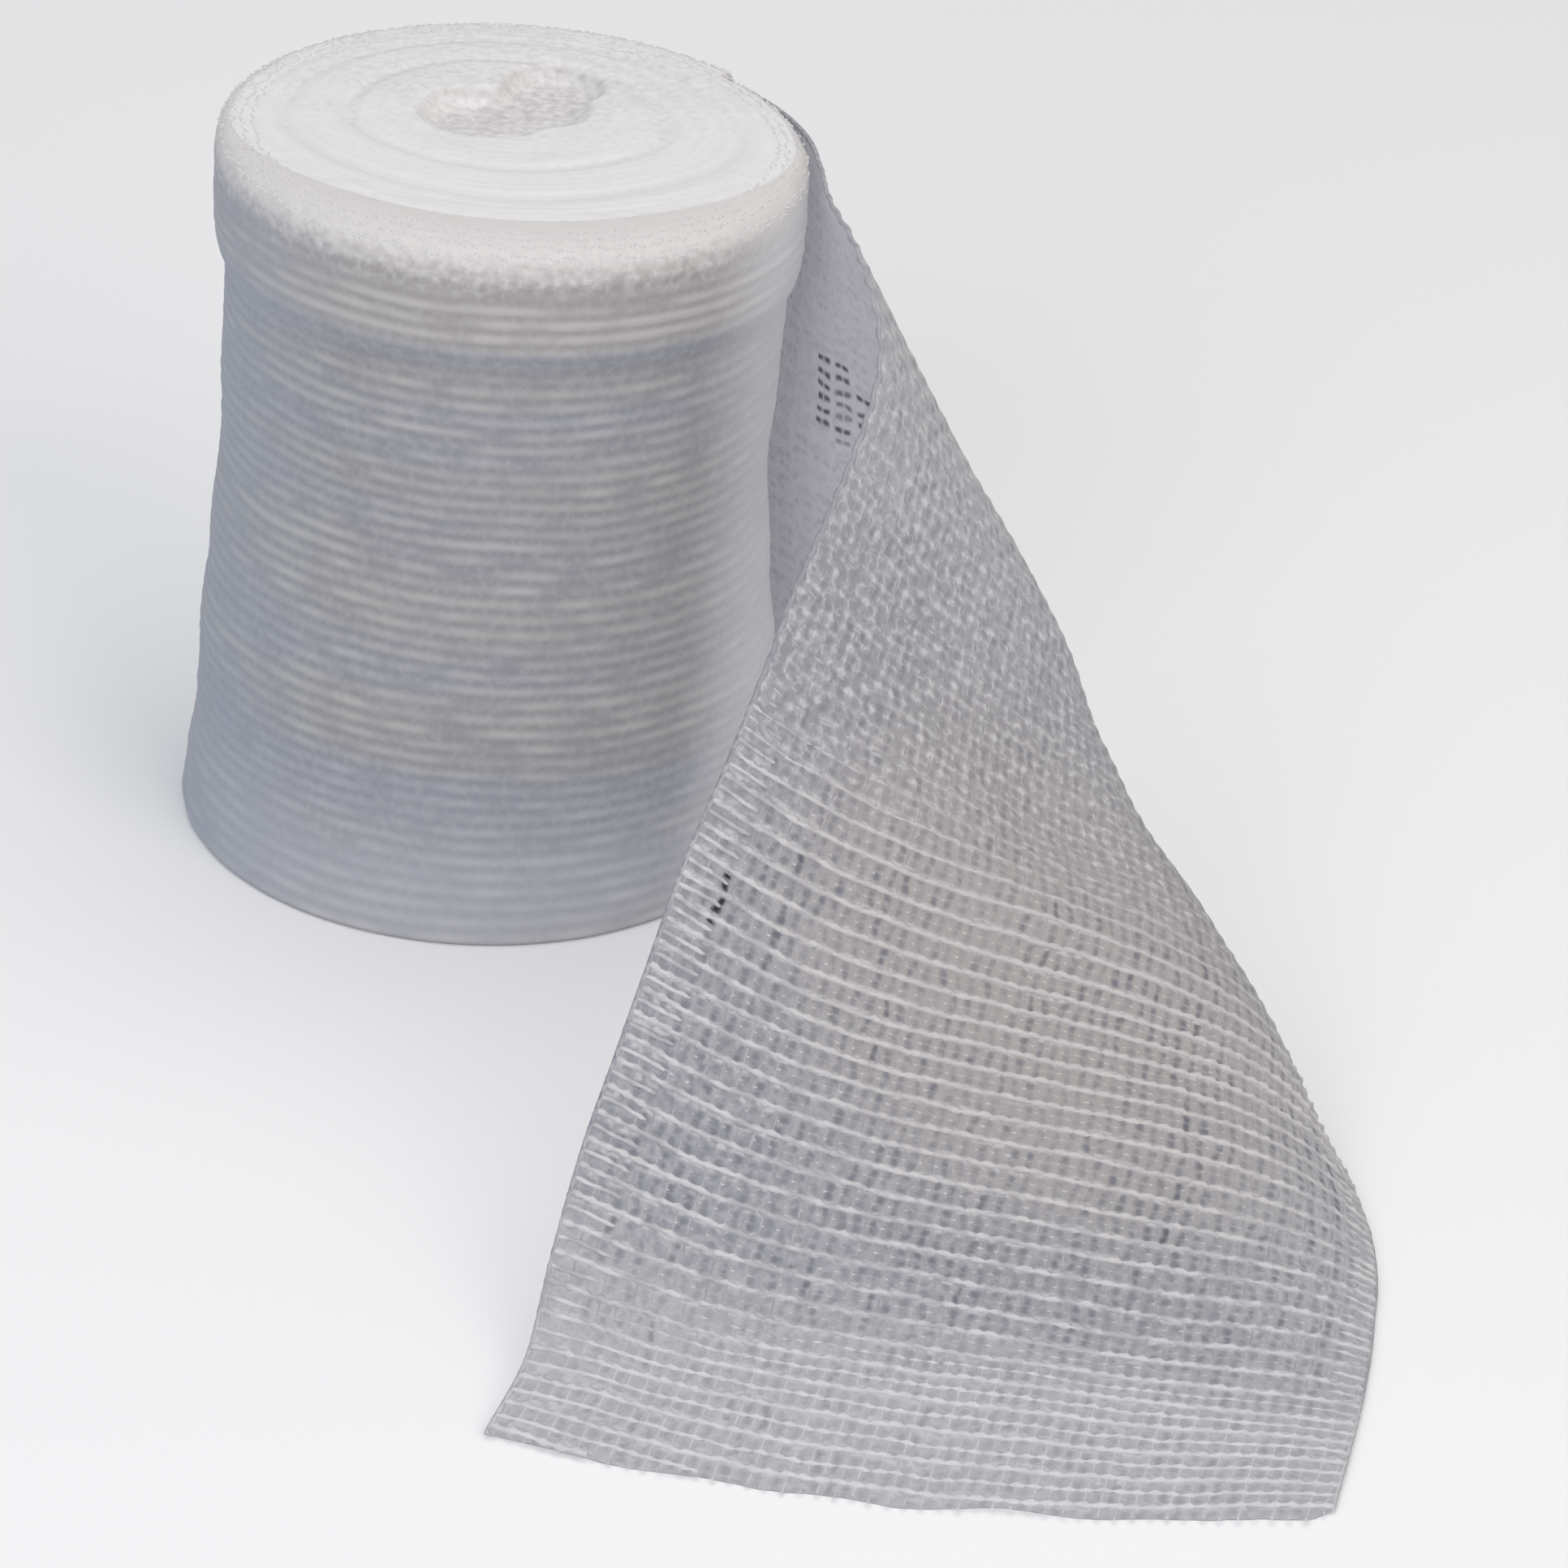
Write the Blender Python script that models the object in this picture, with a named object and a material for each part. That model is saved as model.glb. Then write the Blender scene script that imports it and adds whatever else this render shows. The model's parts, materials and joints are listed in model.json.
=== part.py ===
"""A roll of open-weave gauze bandage standing on one end, its last stretch unwound in front of it.

The wound roll is one solid. The loose end is one sheet that leaves the roll at the right of its
back, stands on its lower edge, turns over and ends flat on the surface. X points right, Y to the
back and Z up, and the origin is the middle of the roll's base. Sizes are in millimetres until
each mesh is made.
"""

import math
from collections import namedtuple

import bmesh
import bpy
from mathutils import Vector

MM = 0.001

# The bandage: its width is the roll's height, and one layer is several plies of gauze.
BANDAGE_WIDTH = 100.0
LAYER = 1.4
PIECE_GAP = 0.3

# The wound roll. Its outer layer ends where the loose end starts, and the outline steps in there.
LEAVING_ANGLE = math.radians(42.5)
TURN_STEPS = 96
SIDE_STEPS = 22
ROUND_STEPS = 5
TOP_RINGS = 15
LEAN_LEFT = 0.8
UNEVENNESS = 0.25
BASE_ROUND = 1.0
RIM_DROP = 4.0
RIM_REACH_BACK = 1.8
RIM_REACH_FRONT = 8.0

# The radius of the outer layer, from the surface up.
SideRow = namedtuple("SideRow", "height radius")
SIDE = (
    SideRow(0.0, 41.9),
    SideRow(6.0, 41.7),
    SideRow(14.0, 40.8),
    SideRow(27.0, 40.5),
    SideRow(39.0, 39.3),
    SideRow(56.0, 38.1),
    SideRow(66.0, 38.6),
    SideRow(79.5, 38.7),
    SideRow(84.5, 40.2),
    SideRow(91.0, 40.5),
    SideRow(100.0, 40.5),
)

# The loosened foot of the roll spreads at the front, a little to the left.
FOOT_SPREAD = 3.0
FOOT_ANGLE = math.radians(-108.0)
FOOT_HEIGHT = 16.0

# The top face: a shallow dish, faint rings where the turns lie unevenly, and the roll's eye, a
# hollow of three lobes behind the middle.
EYE = Vector((-3.0, 12.0))
DISH_DEPTH = 0.8
RING_DEPTH = 0.35
RINGS_AT = (0.80, 0.56)
RING_WIDTH = 0.035
HOLLOW_DEPTH = 2.4
HOLLOW_WALL = 0.38
Lobe = namedtuple("Lobe", "x y radius")
LOBES = (Lobe(-5.0, 8.0, 10.0), Lobe(1.5, 11.5, 8.6), Lobe(4.0, 19.2, 7.6))

# The loose end, from its start on the roll to its cut end. Each row is a crosswise line of the
# cloth: a curve from the upper edge to the lower edge, with the pull of the curve at both ends.
Section = namedtuple("Section", "along upper lower upper_pull lower_pull")
SECTIONS = (
    Section(0, (39.8, 0.0, 98.4), (48.8, 4.3, 0.0), (4, 0, -36), (1, 0, 36)),
    Section(12, (40.9, -11.8, 98.2), (56.4, -5.0, 0.0), (13, 4, -40), (2, 2, 40)),
    Section(24, (43.8, -23.3, 97.2), (64.0, -14.2, 0.0), (22, 4, -44), (4, -2, 46)),
    Section(36, (46.5, -34.5, 94.0), (71.5, -23.7, 0.0), (30, 6, -52), (4, -3, 56)),
    Section(48, (47.3, -44.5, 88.0), (78.6, -33.8, 0.0), (32, 5, -49), (4, -3, 53)),
    Section(60, (44.9, -54.1, 82.0), (85.8, -43.7, 0.0), (34, 5, -51), (3, -4, 48)),
    Section(80, (38.5, -69.7, 71.0), (97.3, -59.4, 0.0), (38, 4, -46), (6, -4, 38)),
    Section(100, (32.5, -84.5, 58.5), (107.0, -75.4, 0.1), (40, 2, -34), (2, -2, 28)),
    Section(120, (25.8, -99.0, 45.5), (113.6, -91.8, 0.3), (40, 0, -26), (-14, 0, 24)),
    Section(140, (20.2, -113.5, 32.5), (115.5, -110.0, 0.5), (43, 0, -18), (-26, 0, 21)),
    Section(160, (14.9, -127.5, 20.0), (113.8, -128.0, 0.7), (34, -1, -11), (-27, 0, 14)),
    Section(175, (11.8, -138.5, 11.0), (111.4, -142.5, 0.7), (34, -2, -5), (-32, 0, 9)),
    Section(190, (9.3, -150.5, 3.5), (108.3, -156.5, 0.7), (34, -7, 2), (-33, -1, 5)),
    Section(204, (5.0, -162.9, 0.7), (104.8, -171.0, 0.7), (34, -12, 0), (-33, -4, 0)),
)

# The stretch that still lies on the roll, before the first row above.
START_ANGLE = LEAVING_ANGLE - PIECE_GAP / SIDE[-1].radius
WRAP_CLEARANCE = 0.4
WRAPPED_LENGTH = 30.0
WRAPPED_TOP = 98.2
LIFTED_ALONG = -15.0
LIFTED_LOWER_EDGE = (39.6, 16.4, 0.0)
SHAPE_FADES_AT = 30.0

ALONG_STEPS = 60
ACROSS_STEPS = 26
CURVE_SAMPLES = 64

# A shallow hollow near the turned-over side, and the soft crosswise crease in front of it.
DENT_DEPTH = 1.9
DENT_ALONG, DENT_ALONG_REACH = 82.0, 12.0
DENT_ACROSS, DENT_ACROSS_REACH = 0.48, 0.14
CREASE_HEIGHT = 1.3
CREASE_ALONG, CREASE_REACH = 105.0, 6.0
CREASE_FROM, CREASE_TO = 0.20, 0.85

ROLL_COLOUR = (0.62, 0.63, 0.65, 1.0)
LOOSE_END_COLOUR = (0.50, 0.50, 0.52, 1.0)
GAUZE_ROUGHNESS = 0.95


def ease(value):
    """Return 0 to 1, with a smooth start and stop."""
    value = min(max(value, 0.0), 1.0)
    return value * value * (3.0 - 2.0 * value)


def bump(value, middle, reach):
    """Return a smooth hill of height 1 about the middle."""
    return math.exp(-(((value - middle) / reach) ** 2))


def side_radius(height):
    """Radius of the outer layer at a height, before the base and rim are rounded."""
    for low, high in zip(SIDE, SIDE[1:]):
        if height <= high.height:
            share = ease((height - low.height) / (high.height - low.height))
            return low.radius + share * (high.radius - low.radius)
    return SIDE[-1].radius


def rounding(height, angle):
    """How far the base edge and the rim draw in at a height."""
    if height < BASE_ROUND:
        rise = 1.0 - max(height, 0.0) / BASE_ROUND
        return BASE_ROUND * (1.0 - math.sqrt(1.0 - rise * rise))
    rise = (height - (BANDAGE_WIDTH - RIM_DROP)) / RIM_DROP
    if rise <= 0.0:
        return 0.0
    rise = min(rise, 1.0)
    front = ease(-math.sin(angle))
    reach = RIM_REACH_BACK + front * (RIM_REACH_FRONT - RIM_REACH_BACK)
    return reach * (1.0 - math.sqrt(1.0 - rise * rise))


def lean(height):
    """How far the roll's middle stands to the left at a height."""
    return LEAN_LEFT * height / BANDAGE_WIDTH


def side_point(height, angle, layers_in):
    """A point on the roll's side as if it had no rounded base and rim, so many layers in."""
    spread = max(0.0, math.cos(angle - FOOT_ANGLE)) ** 2 * max(0.0, 1.0 - height / FOOT_HEIGHT) ** 2
    radius = side_radius(height) - layers_in * LAYER
    radius += FOOT_SPREAD * spread + UNEVENNESS * math.sin(3.0 * angle + height / 11.0)
    return Vector((radius * math.cos(angle) - lean(height), radius * math.sin(angle), height))


def roll_point(height, angle, layers_in):
    """A point on the roll's side, so many layers in from the outer one."""
    radial = Vector((math.cos(angle), math.sin(angle), 0.0))
    return side_point(height, angle, layers_in) - radial * rounding(height, angle)


def roll_ring(height):
    """One turn of the outer layer, clockwise from the step to the step."""
    ring = []
    for step in range(TURN_STEPS + 1):
        turned = step / TURN_STEPS
        ring.append(roll_point(height, LEAVING_ANGLE - math.tau * turned, 1.0 - turned))
    return ring


def side_heights():
    """Heights of the rings, closer together on the rounded base and rim."""
    heights = []
    for step in range(ROUND_STEPS):
        heights.append(BASE_ROUND * (1.0 - math.cos(0.5 * math.pi * step / ROUND_STEPS)))
    rim_start = BANDAGE_WIDTH - RIM_DROP
    for step in range(SIDE_STEPS):
        heights.append(BASE_ROUND + (rim_start - BASE_ROUND) * step / SIDE_STEPS)
    for step in range(ROUND_STEPS + 1):
        heights.append(rim_start + RIM_DROP * math.sin(0.5 * math.pi * step / ROUND_STEPS))
    return heights


def top_height(x, y, share):
    """Height of the top face, where share runs from 0 at the eye to 1 at the rim."""
    drop = DISH_DEPTH * ease(1.0 - share)
    for ring in RINGS_AT:
        drop += RING_DEPTH * bump(share, ring, RING_WIDTH)
    filled = 1.0
    for lobe in LOBES:
        distance = math.hypot(x - lobe.x, y - lobe.y) / lobe.radius
        filled *= 1.0 - ease((1.0 - distance) / HOLLOW_WALL)
    return BANDAGE_WIDTH - drop - HOLLOW_DEPTH * (1.0 - filled)


def top_rings(rim):
    """Rings of the top face, drawn in from the rim to the eye."""
    rings = []
    for step in range(1, TOP_RINGS):
        share = 1.0 - step / TOP_RINGS
        ring = []
        for point in rim:
            flat = EYE + (point.to_2d() - EYE) * share
            ring.append(Vector((flat.x, flat.y, top_height(flat.x, flat.y, share))))
        rings.append(ring)
    return rings


def bezier(start, start_pull, end_pull, end, share):
    """A point of the cubic curve between start and end."""
    first, second = start + start_pull, end + end_pull
    left = 1.0 - share
    return (start * left ** 3 + first * 3.0 * left * left * share
            + second * 3.0 * left * share * share + end * share ** 3)


def evenly_spaced(curve, steps):
    """Points at even distances along a finely drawn curve."""
    lengths = [0.0]
    for near, far in zip(curve, curve[1:]):
        lengths.append(lengths[-1] + (far - near).length)
    points = []
    piece = 0
    for step in range(steps + 1):
        target = lengths[-1] * step / steps
        while piece < len(curve) - 2 and lengths[piece + 1] < target:
            piece += 1
        share = (target - lengths[piece]) / (lengths[piece + 1] - lengths[piece])
        points.append(curve[piece].lerp(curve[piece + 1], share))
    return points


def section_line(row):
    """The crosswise line of one row, from the upper edge to the lower edge."""
    upper, lower = Vector(row.upper), Vector(row.lower)
    upper_pull, lower_pull = Vector(row.upper_pull), Vector(row.lower_pull)
    curve = [bezier(upper, upper_pull, lower_pull, lower, step / CURVE_SAMPLES)
             for step in range(CURVE_SAMPLES + 1)]
    return evenly_spaced(curve, ACROSS_STEPS)


def wrapped_point(height, angle, clearance):
    """A point that stands clear of the turn below the loose end, where that still lies on the roll."""
    layers_in = 1.0 - (LEAVING_ANGLE - angle) / math.tau
    radial = Vector((math.cos(angle), math.sin(angle), 0.0))
    return side_point(height, angle, layers_in) + radial * clearance


def kept_roll_shape(along, height, angle):
    """How far the cloth near the roll keeps the lip and waist of the side that it was wound on."""
    foot, top = wrapped_point(0.0, angle, 0.0), wrapped_point(WRAPPED_TOP, angle, 0.0)
    straight = foot.lerp(top, height / WRAPPED_TOP)
    hold = 1.0 - ease((along - LIFTED_ALONG) / (SHAPE_FADES_AT - LIFTED_ALONG))
    return (wrapped_point(height, angle, 0.0) - straight) * hold


def outside_roll(point, clearance):
    """Keep a point of the loose end clear of the turn below it."""
    angle = math.atan2(point.y, point.x + lean(point.z))
    if not -0.5 * math.pi < angle < LEAVING_ANGLE:
        return point
    outward = Vector((math.cos(angle), math.sin(angle), 0.0))
    short = (wrapped_point(point.z, angle, clearance) - point).dot(outward)
    return point + outward * max(short, 0.0)


def straight_row(along, upper, lower):
    """A row with a straight crosswise line."""
    third = (Vector(lower) - Vector(upper)) / 3.0
    return Section(along, upper, lower, third, -third)


def all_rows():
    """The two rows on the roll, then the table."""
    lifted_angle = START_ANGLE * LIFTED_ALONG / -WRAPPED_LENGTH
    half_way = WRAP_CLEARANCE + 0.5 * LAYER
    start = straight_row(-WRAPPED_LENGTH, wrapped_point(WRAPPED_TOP, START_ANGLE, half_way),
                         wrapped_point(0.0, START_ANGLE, half_way))
    lifted = straight_row(LIFTED_ALONG, wrapped_point(WRAPPED_TOP, lifted_angle, half_way),
                          LIFTED_LOWER_EDGE)
    return (start, lifted) + SECTIONS


def between_rows(rows, lines, along, across_step):
    """A point on the smooth lengthwise curve through the rows."""
    last = len(rows) - 1
    index = 0
    while index < last - 1 and along > rows[index + 1].along:
        index += 1

    def slope(row):
        low, high = max(row - 1, 0), min(row + 1, last)
        rise = lines[high][across_step] - lines[low][across_step]
        return rise / (rows[high].along - rows[low].along)

    span = rows[index + 1].along - rows[index].along
    share = (along - rows[index].along) / span
    start, end = lines[index][across_step], lines[index + 1][across_step]
    return (start * (1.0 + 2.0 * share) * (1.0 - share) ** 2
            + slope(index) * span * share * (1.0 - share) ** 2
            + end * share * share * (3.0 - 2.0 * share)
            + slope(index + 1) * span * share * share * (share - 1.0))


def sheet_middle():
    """Grid of points half-way through the loose end's thickness."""
    rows = all_rows()
    lines = [section_line(row) for row in rows]
    first, last = rows[0].along, rows[-1].along
    grid = []
    for step in range(ALONG_STEPS + 1):
        along = first + (last - first) * step / ALONG_STEPS
        line = []
        for across_step in range(ACROSS_STEPS + 1):
            point = between_rows(rows, lines, along, across_step)
            angle = START_ANGLE * min(max(-along / WRAPPED_LENGTH, 0.0), 1.0)
            line.append(point + kept_roll_shape(along, point.z, angle))
        grid.append(line)
    return grid


def grid_normals(grid):
    """Normals of the grid's outer side, which faces up in front of the roll."""
    normals = []
    for row in range(len(grid)):
        line = []
        for column in range(len(grid[row])):
            low, high = max(row - 1, 0), min(row + 1, len(grid) - 1)
            left, right = max(column - 1, 0), min(column + 1, len(grid[row]) - 1)
            lengthwise = grid[high][column] - grid[low][column]
            crosswise = grid[row][right] - grid[row][left]
            line.append(lengthwise.cross(crosswise).normalized())
        normals.append(line)
    return normals


def fold_height(along, across):
    """Height of the soft folds above the loose end's even shape."""
    dent = bump(along, DENT_ALONG, DENT_ALONG_REACH) * bump(across, DENT_ACROSS, DENT_ACROSS_REACH)
    crease_share = (across - CREASE_FROM) / (CREASE_TO - CREASE_FROM)
    crease = bump(along, CREASE_ALONG, CREASE_REACH) * ease(1.0 - abs(2.0 * crease_share - 1.0))
    return CREASE_HEIGHT * crease - DENT_DEPTH * dent


def on_surface(point):
    """Keep a point from sinking below the surface that the roll stands on."""
    return Vector((point.x, point.y, max(point.z, 0.0)))


def bridge(mesh, near, far):
    """Join two open rows of vertices with quads."""
    for step in range(len(near) - 1):
        mesh.faces.new((near[step], near[step + 1], far[step + 1], far[step]))


def new_object(name, mesh, colour):
    """Make the object with its own gauze material."""
    bmesh.ops.recalc_face_normals(mesh, faces=mesh.faces[:])
    data = bpy.data.meshes.new(name)
    mesh.to_mesh(data)
    mesh.free()
    material = bpy.data.materials.new(name + "_gauze")
    material.use_nodes = True
    shader = material.node_tree.nodes["Principled BSDF"]
    shader.inputs["Base Color"].default_value = colour
    shader.inputs["Roughness"].default_value = GAUZE_ROUGHNESS
    shader.inputs["Metallic"].default_value = 0.0
    data.materials.append(material)
    thing = bpy.data.objects.new(name, data)
    bpy.context.scene.collection.objects.link(thing)
    return thing


def make_wound_roll():
    """The wound roll: side rings, the stepped end of its outer layer, top face and base."""
    mesh = bmesh.new()
    rings = [roll_ring(height) for height in side_heights()]
    rings += top_rings(rings[-1])
    rows = [[mesh.verts.new(point * MM) for point in ring] for ring in rings]
    for low, high in zip(rows, rows[1:]):
        bridge(mesh, low + low[:1], high + high[:1])
    eye = mesh.verts.new(Vector((EYE.x, EYE.y, top_height(EYE.x, EYE.y, 0.0))) * MM)
    foot = mesh.verts.new((0.0, 0.0, 0.0))
    for middle, ring in ((eye, rows[-1]), (foot, rows[0])):
        for step in range(len(ring)):
            mesh.faces.new((middle, ring[step], ring[(step + 1) % len(ring)]))
    return new_object("wound_roll", mesh, ROLL_COLOUR)


def make_loose_end():
    """The loose end: one sheet of a layer's thickness with square edges."""
    mesh = bmesh.new()
    middle = sheet_middle()
    normals = grid_normals(middle)
    first = -WRAPPED_LENGTH
    length = SECTIONS[-1].along - first
    faces = []
    for side in (0.5, -0.5):
        rows = []
        for row, (points, directions) in enumerate(zip(middle, normals)):
            along = first + length * row / ALONG_STEPS
            line = []
            for column, (point, direction) in enumerate(zip(points, directions)):
                lift = fold_height(along, column / ACROSS_STEPS) + side * LAYER
                place = on_surface(point + direction * lift)
                place = outside_roll(place, WRAP_CLEARANCE + (0.5 + side) * LAYER)
                line.append(mesh.verts.new(place * MM))
            rows.append(line)
        for near, far in zip(rows, rows[1:]):
            bridge(mesh, near, far)
        faces.append(rows)
    outer, inner = faces
    bridge(mesh, outer[0], inner[0])
    bridge(mesh, outer[-1], inner[-1])
    bridge(mesh, [row[0] for row in outer], [row[0] for row in inner])
    bridge(mesh, [row[-1] for row in outer], [row[-1] for row in inner])
    return new_object("loose_end", mesh, LOOSE_END_COLOUR)


def main():
    for thing in list(bpy.data.objects):
        bpy.data.objects.remove(thing, do_unlink=True)
    make_wound_roll()
    make_loose_end()


main()
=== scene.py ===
# %% [markdown]
# # A roll of gauze bandage with its last stretch unwound
#
# Gauze is a very open cotton cloth: soft yarns about 2 mm apart, with air between them. A bandage
# is several plies of it, wound edge over edge. Here the plies are thin cloth, and the yarns that
# stand out of them are real threads, because a painted thread throws no shadow. Lengths are in
# millimetres until a vertex is placed, and one factor turns them to metres.

# %% Load the frame
import json
import random
from collections import namedtuple
from math import atan2, cos, exp, hypot, pi, radians, sin, sqrt, tau

import bmesh
import bpy
from mathutils import Matrix, Vector, noise

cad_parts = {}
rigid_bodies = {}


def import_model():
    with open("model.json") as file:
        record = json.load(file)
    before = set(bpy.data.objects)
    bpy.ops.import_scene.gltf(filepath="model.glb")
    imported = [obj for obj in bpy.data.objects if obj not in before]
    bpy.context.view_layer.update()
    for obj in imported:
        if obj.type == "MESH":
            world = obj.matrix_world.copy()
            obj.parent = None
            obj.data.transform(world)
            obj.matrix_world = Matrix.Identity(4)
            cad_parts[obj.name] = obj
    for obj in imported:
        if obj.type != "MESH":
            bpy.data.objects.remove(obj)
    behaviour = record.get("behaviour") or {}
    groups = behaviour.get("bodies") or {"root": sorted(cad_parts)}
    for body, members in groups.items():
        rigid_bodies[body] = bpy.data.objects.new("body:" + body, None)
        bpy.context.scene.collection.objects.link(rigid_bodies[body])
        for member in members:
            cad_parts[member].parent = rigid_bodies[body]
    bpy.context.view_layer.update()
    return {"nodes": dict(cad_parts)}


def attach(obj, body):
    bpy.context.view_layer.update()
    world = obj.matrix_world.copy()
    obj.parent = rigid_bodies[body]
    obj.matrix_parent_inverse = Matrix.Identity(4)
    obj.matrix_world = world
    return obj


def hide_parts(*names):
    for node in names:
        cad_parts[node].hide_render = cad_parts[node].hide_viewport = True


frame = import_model()
MM = 0.001
print("CAD nodes:", sorted(frame["nodes"]))

# %% [markdown]
# ## Camera
#
# The roll is seen from the front and a little above, through a long lens, so its sides hardly
# converge. The camera leans by a few degrees, which is why the roll seems to lean.

# %% Camera
CAMERA_DISTANCE = 0.914
CAMERA_ELEVATION = radians(27.6)
CAMERA_LEAN = radians(3.5)
LOOKS_AT = Vector((0.0423, 0.0020, 0.0038))
LENS = 149.8


def add_object(name, data):
    """Put a new object into the scene."""
    thing = bpy.data.objects.new(name, data)
    bpy.context.scene.collection.objects.link(thing)
    return thing


def make_camera():
    """Place the camera in front of the roll, turned to a point beside the roll's foot."""
    data = bpy.data.cameras.new("camera")
    data.lens, data.sensor_width = LENS, 36.0
    data.clip_start, data.clip_end = 0.05, 20.0
    camera = add_object("camera", data)
    sine, cosine = sin(CAMERA_ELEVATION), cos(CAMERA_ELEVATION)
    camera.location = Vector((0.0, -cosine, sine)) * CAMERA_DISTANCE
    up = Vector((0.0, sine, cosine)) * cos(CAMERA_LEAN) - Vector((sin(CAMERA_LEAN), 0, 0))
    back = (camera.location - LOOKS_AT).normalized()
    right = up.cross(back).normalized()
    camera.rotation_mode = "QUATERNION"
    turn = Matrix((right, back.cross(right), back)).transposed()
    camera.rotation_quaternion = turn.to_quaternion()
    bpy.context.scene.camera = camera
    return camera


print("camera at", make_camera().location)

# %% [markdown]
# ## The shape that the CAD gives
#
# The visible cloth has to lie where the solids are, so the roll's side, its top and the run of the
# loose end are worked out here from the same sizes as in the CAD source.

# %% The wound roll's shape
WIDTH = 100.0
LAYER = 1.4
PIECE_GAP = 0.3
LEAVING_ANGLE = radians(42.5)
LEAN_LEFT = 0.8
UNEVENNESS = 0.25
BASE_ROUND = 1.0
RIM_DROP, RIM_REACH_BACK, RIM_REACH_FRONT = 4.0, 1.8, 8.0
SideRow = namedtuple("SideRow", "height radius")
SIDE = [SideRow(*row) for row in (
    (0.0, 41.9), (6.0, 41.7), (14.0, 40.8), (27.0, 40.5), (39.0, 39.3), (56.0, 38.1),
    (66.0, 38.6), (79.5, 38.7), (84.5, 40.2), (91.0, 40.5), (100.0, 40.5))]
FOOT_SPREAD, FOOT_ANGLE, FOOT_HEIGHT = 3.0, radians(-108.0), 16.0
EYE = Vector((-3.0, 12.0))
DISH_DEPTH, RING_DEPTH, RINGS_AT, RING_WIDTH = 0.8, 0.35, (0.80, 0.56), 0.035
HOLLOW_DEPTH, HOLLOW_WALL = 2.4, 0.38
Lobe = namedtuple("Lobe", "x y radius")
LOBES = (Lobe(-5.0, 8.0, 10.0), Lobe(1.5, 11.5, 8.6), Lobe(4.0, 19.2, 7.6))


def ease(value, start=0.0, end=1.0):
    """Return 0 before the start and 1 after the end, with a smooth change between them."""
    share = min(max((value - start) / (end - start), 0.0), 1.0)
    return share * share * (3.0 - 2.0 * share)


def bump(value, middle, reach):
    """Return a smooth hill of height 1 about the middle."""
    return exp(-(((value - middle) / reach) ** 2))


def side_radius(height):
    """Radius of the outer layer at a height."""
    for low, high in zip(SIDE, SIDE[1:]):
        if height <= high.height:
            share = ease(height, low.height, high.height)
            return low.radius + share * (high.radius - low.radius)
    return SIDE[-1].radius


def wobble(x, y, z):
    """Smooth noise, between -1 and 1."""
    return noise.noise(Vector((x, y, z)))


def outward(angle, rise=0.0):
    """The direction away from the roll's middle."""
    return Vector((cos(angle), sin(angle), rise))


def rim_reach(angle):
    """How far in the soft rim reaches, most at the front."""
    return RIM_REACH_BACK + ease(-sin(angle)) * (RIM_REACH_FRONT - RIM_REACH_BACK)


def rounding(height, angle):
    """How far the base edge and the rim draw in at a height."""
    reach, rise = BASE_ROUND, 1.0 - max(height, 0.0) / BASE_ROUND
    if height >= BASE_ROUND:
        reach = rim_reach(angle)
        rise = max(min((height - WIDTH + RIM_DROP) / RIM_DROP, 1.0), 0.0)
    return reach * (1.0 - sqrt(1.0 - rise * rise))


def lean(height):
    """How far the roll's middle stands to the left at a height."""
    return LEAN_LEFT * height / WIDTH


def side_point(height, angle, layers_in, lift=0.0):
    """A point on the roll's side as if its base and rim weren't rounded, so many layers in."""
    spread = max(0.0, cos(angle - FOOT_ANGLE)) ** 2 * max(0.0, 1.0 - height / FOOT_HEIGHT) ** 2
    radius = side_radius(height) - layers_in * LAYER + lift
    radius += FOOT_SPREAD * spread + UNEVENNESS * sin(3.0 * angle + height / 11.0)
    return Vector((radius * cos(angle) - lean(height), radius * sin(angle), height))


def roll_point(height, angle, layers_in, lift=0.0):
    """A point on the roll's side, so many layers in from the outer one."""
    return side_point(height, angle, layers_in, lift - rounding(height, angle))


def hollowness(x, y):
    """0 on the open top face and 1 on the bottom of the roll's eye."""
    filled = 1.0
    for lobe in LOBES:
        distance = hypot(x - lobe.x, y - lobe.y) / lobe.radius
        filled *= ease(distance, 1.0 - HOLLOW_WALL, 1.0)
    return 1.0 - filled


def top_height(x, y, share):
    """Height of the top face, where share runs from 0 at the eye to 1 at the rim."""
    drop = DISH_DEPTH * ease(1.0 - share)
    for ring in RINGS_AT:
        drop += RING_DEPTH * bump(share, ring, RING_WIDTH)
    return WIDTH - drop - HOLLOW_DEPTH * hollowness(x, y)


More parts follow.
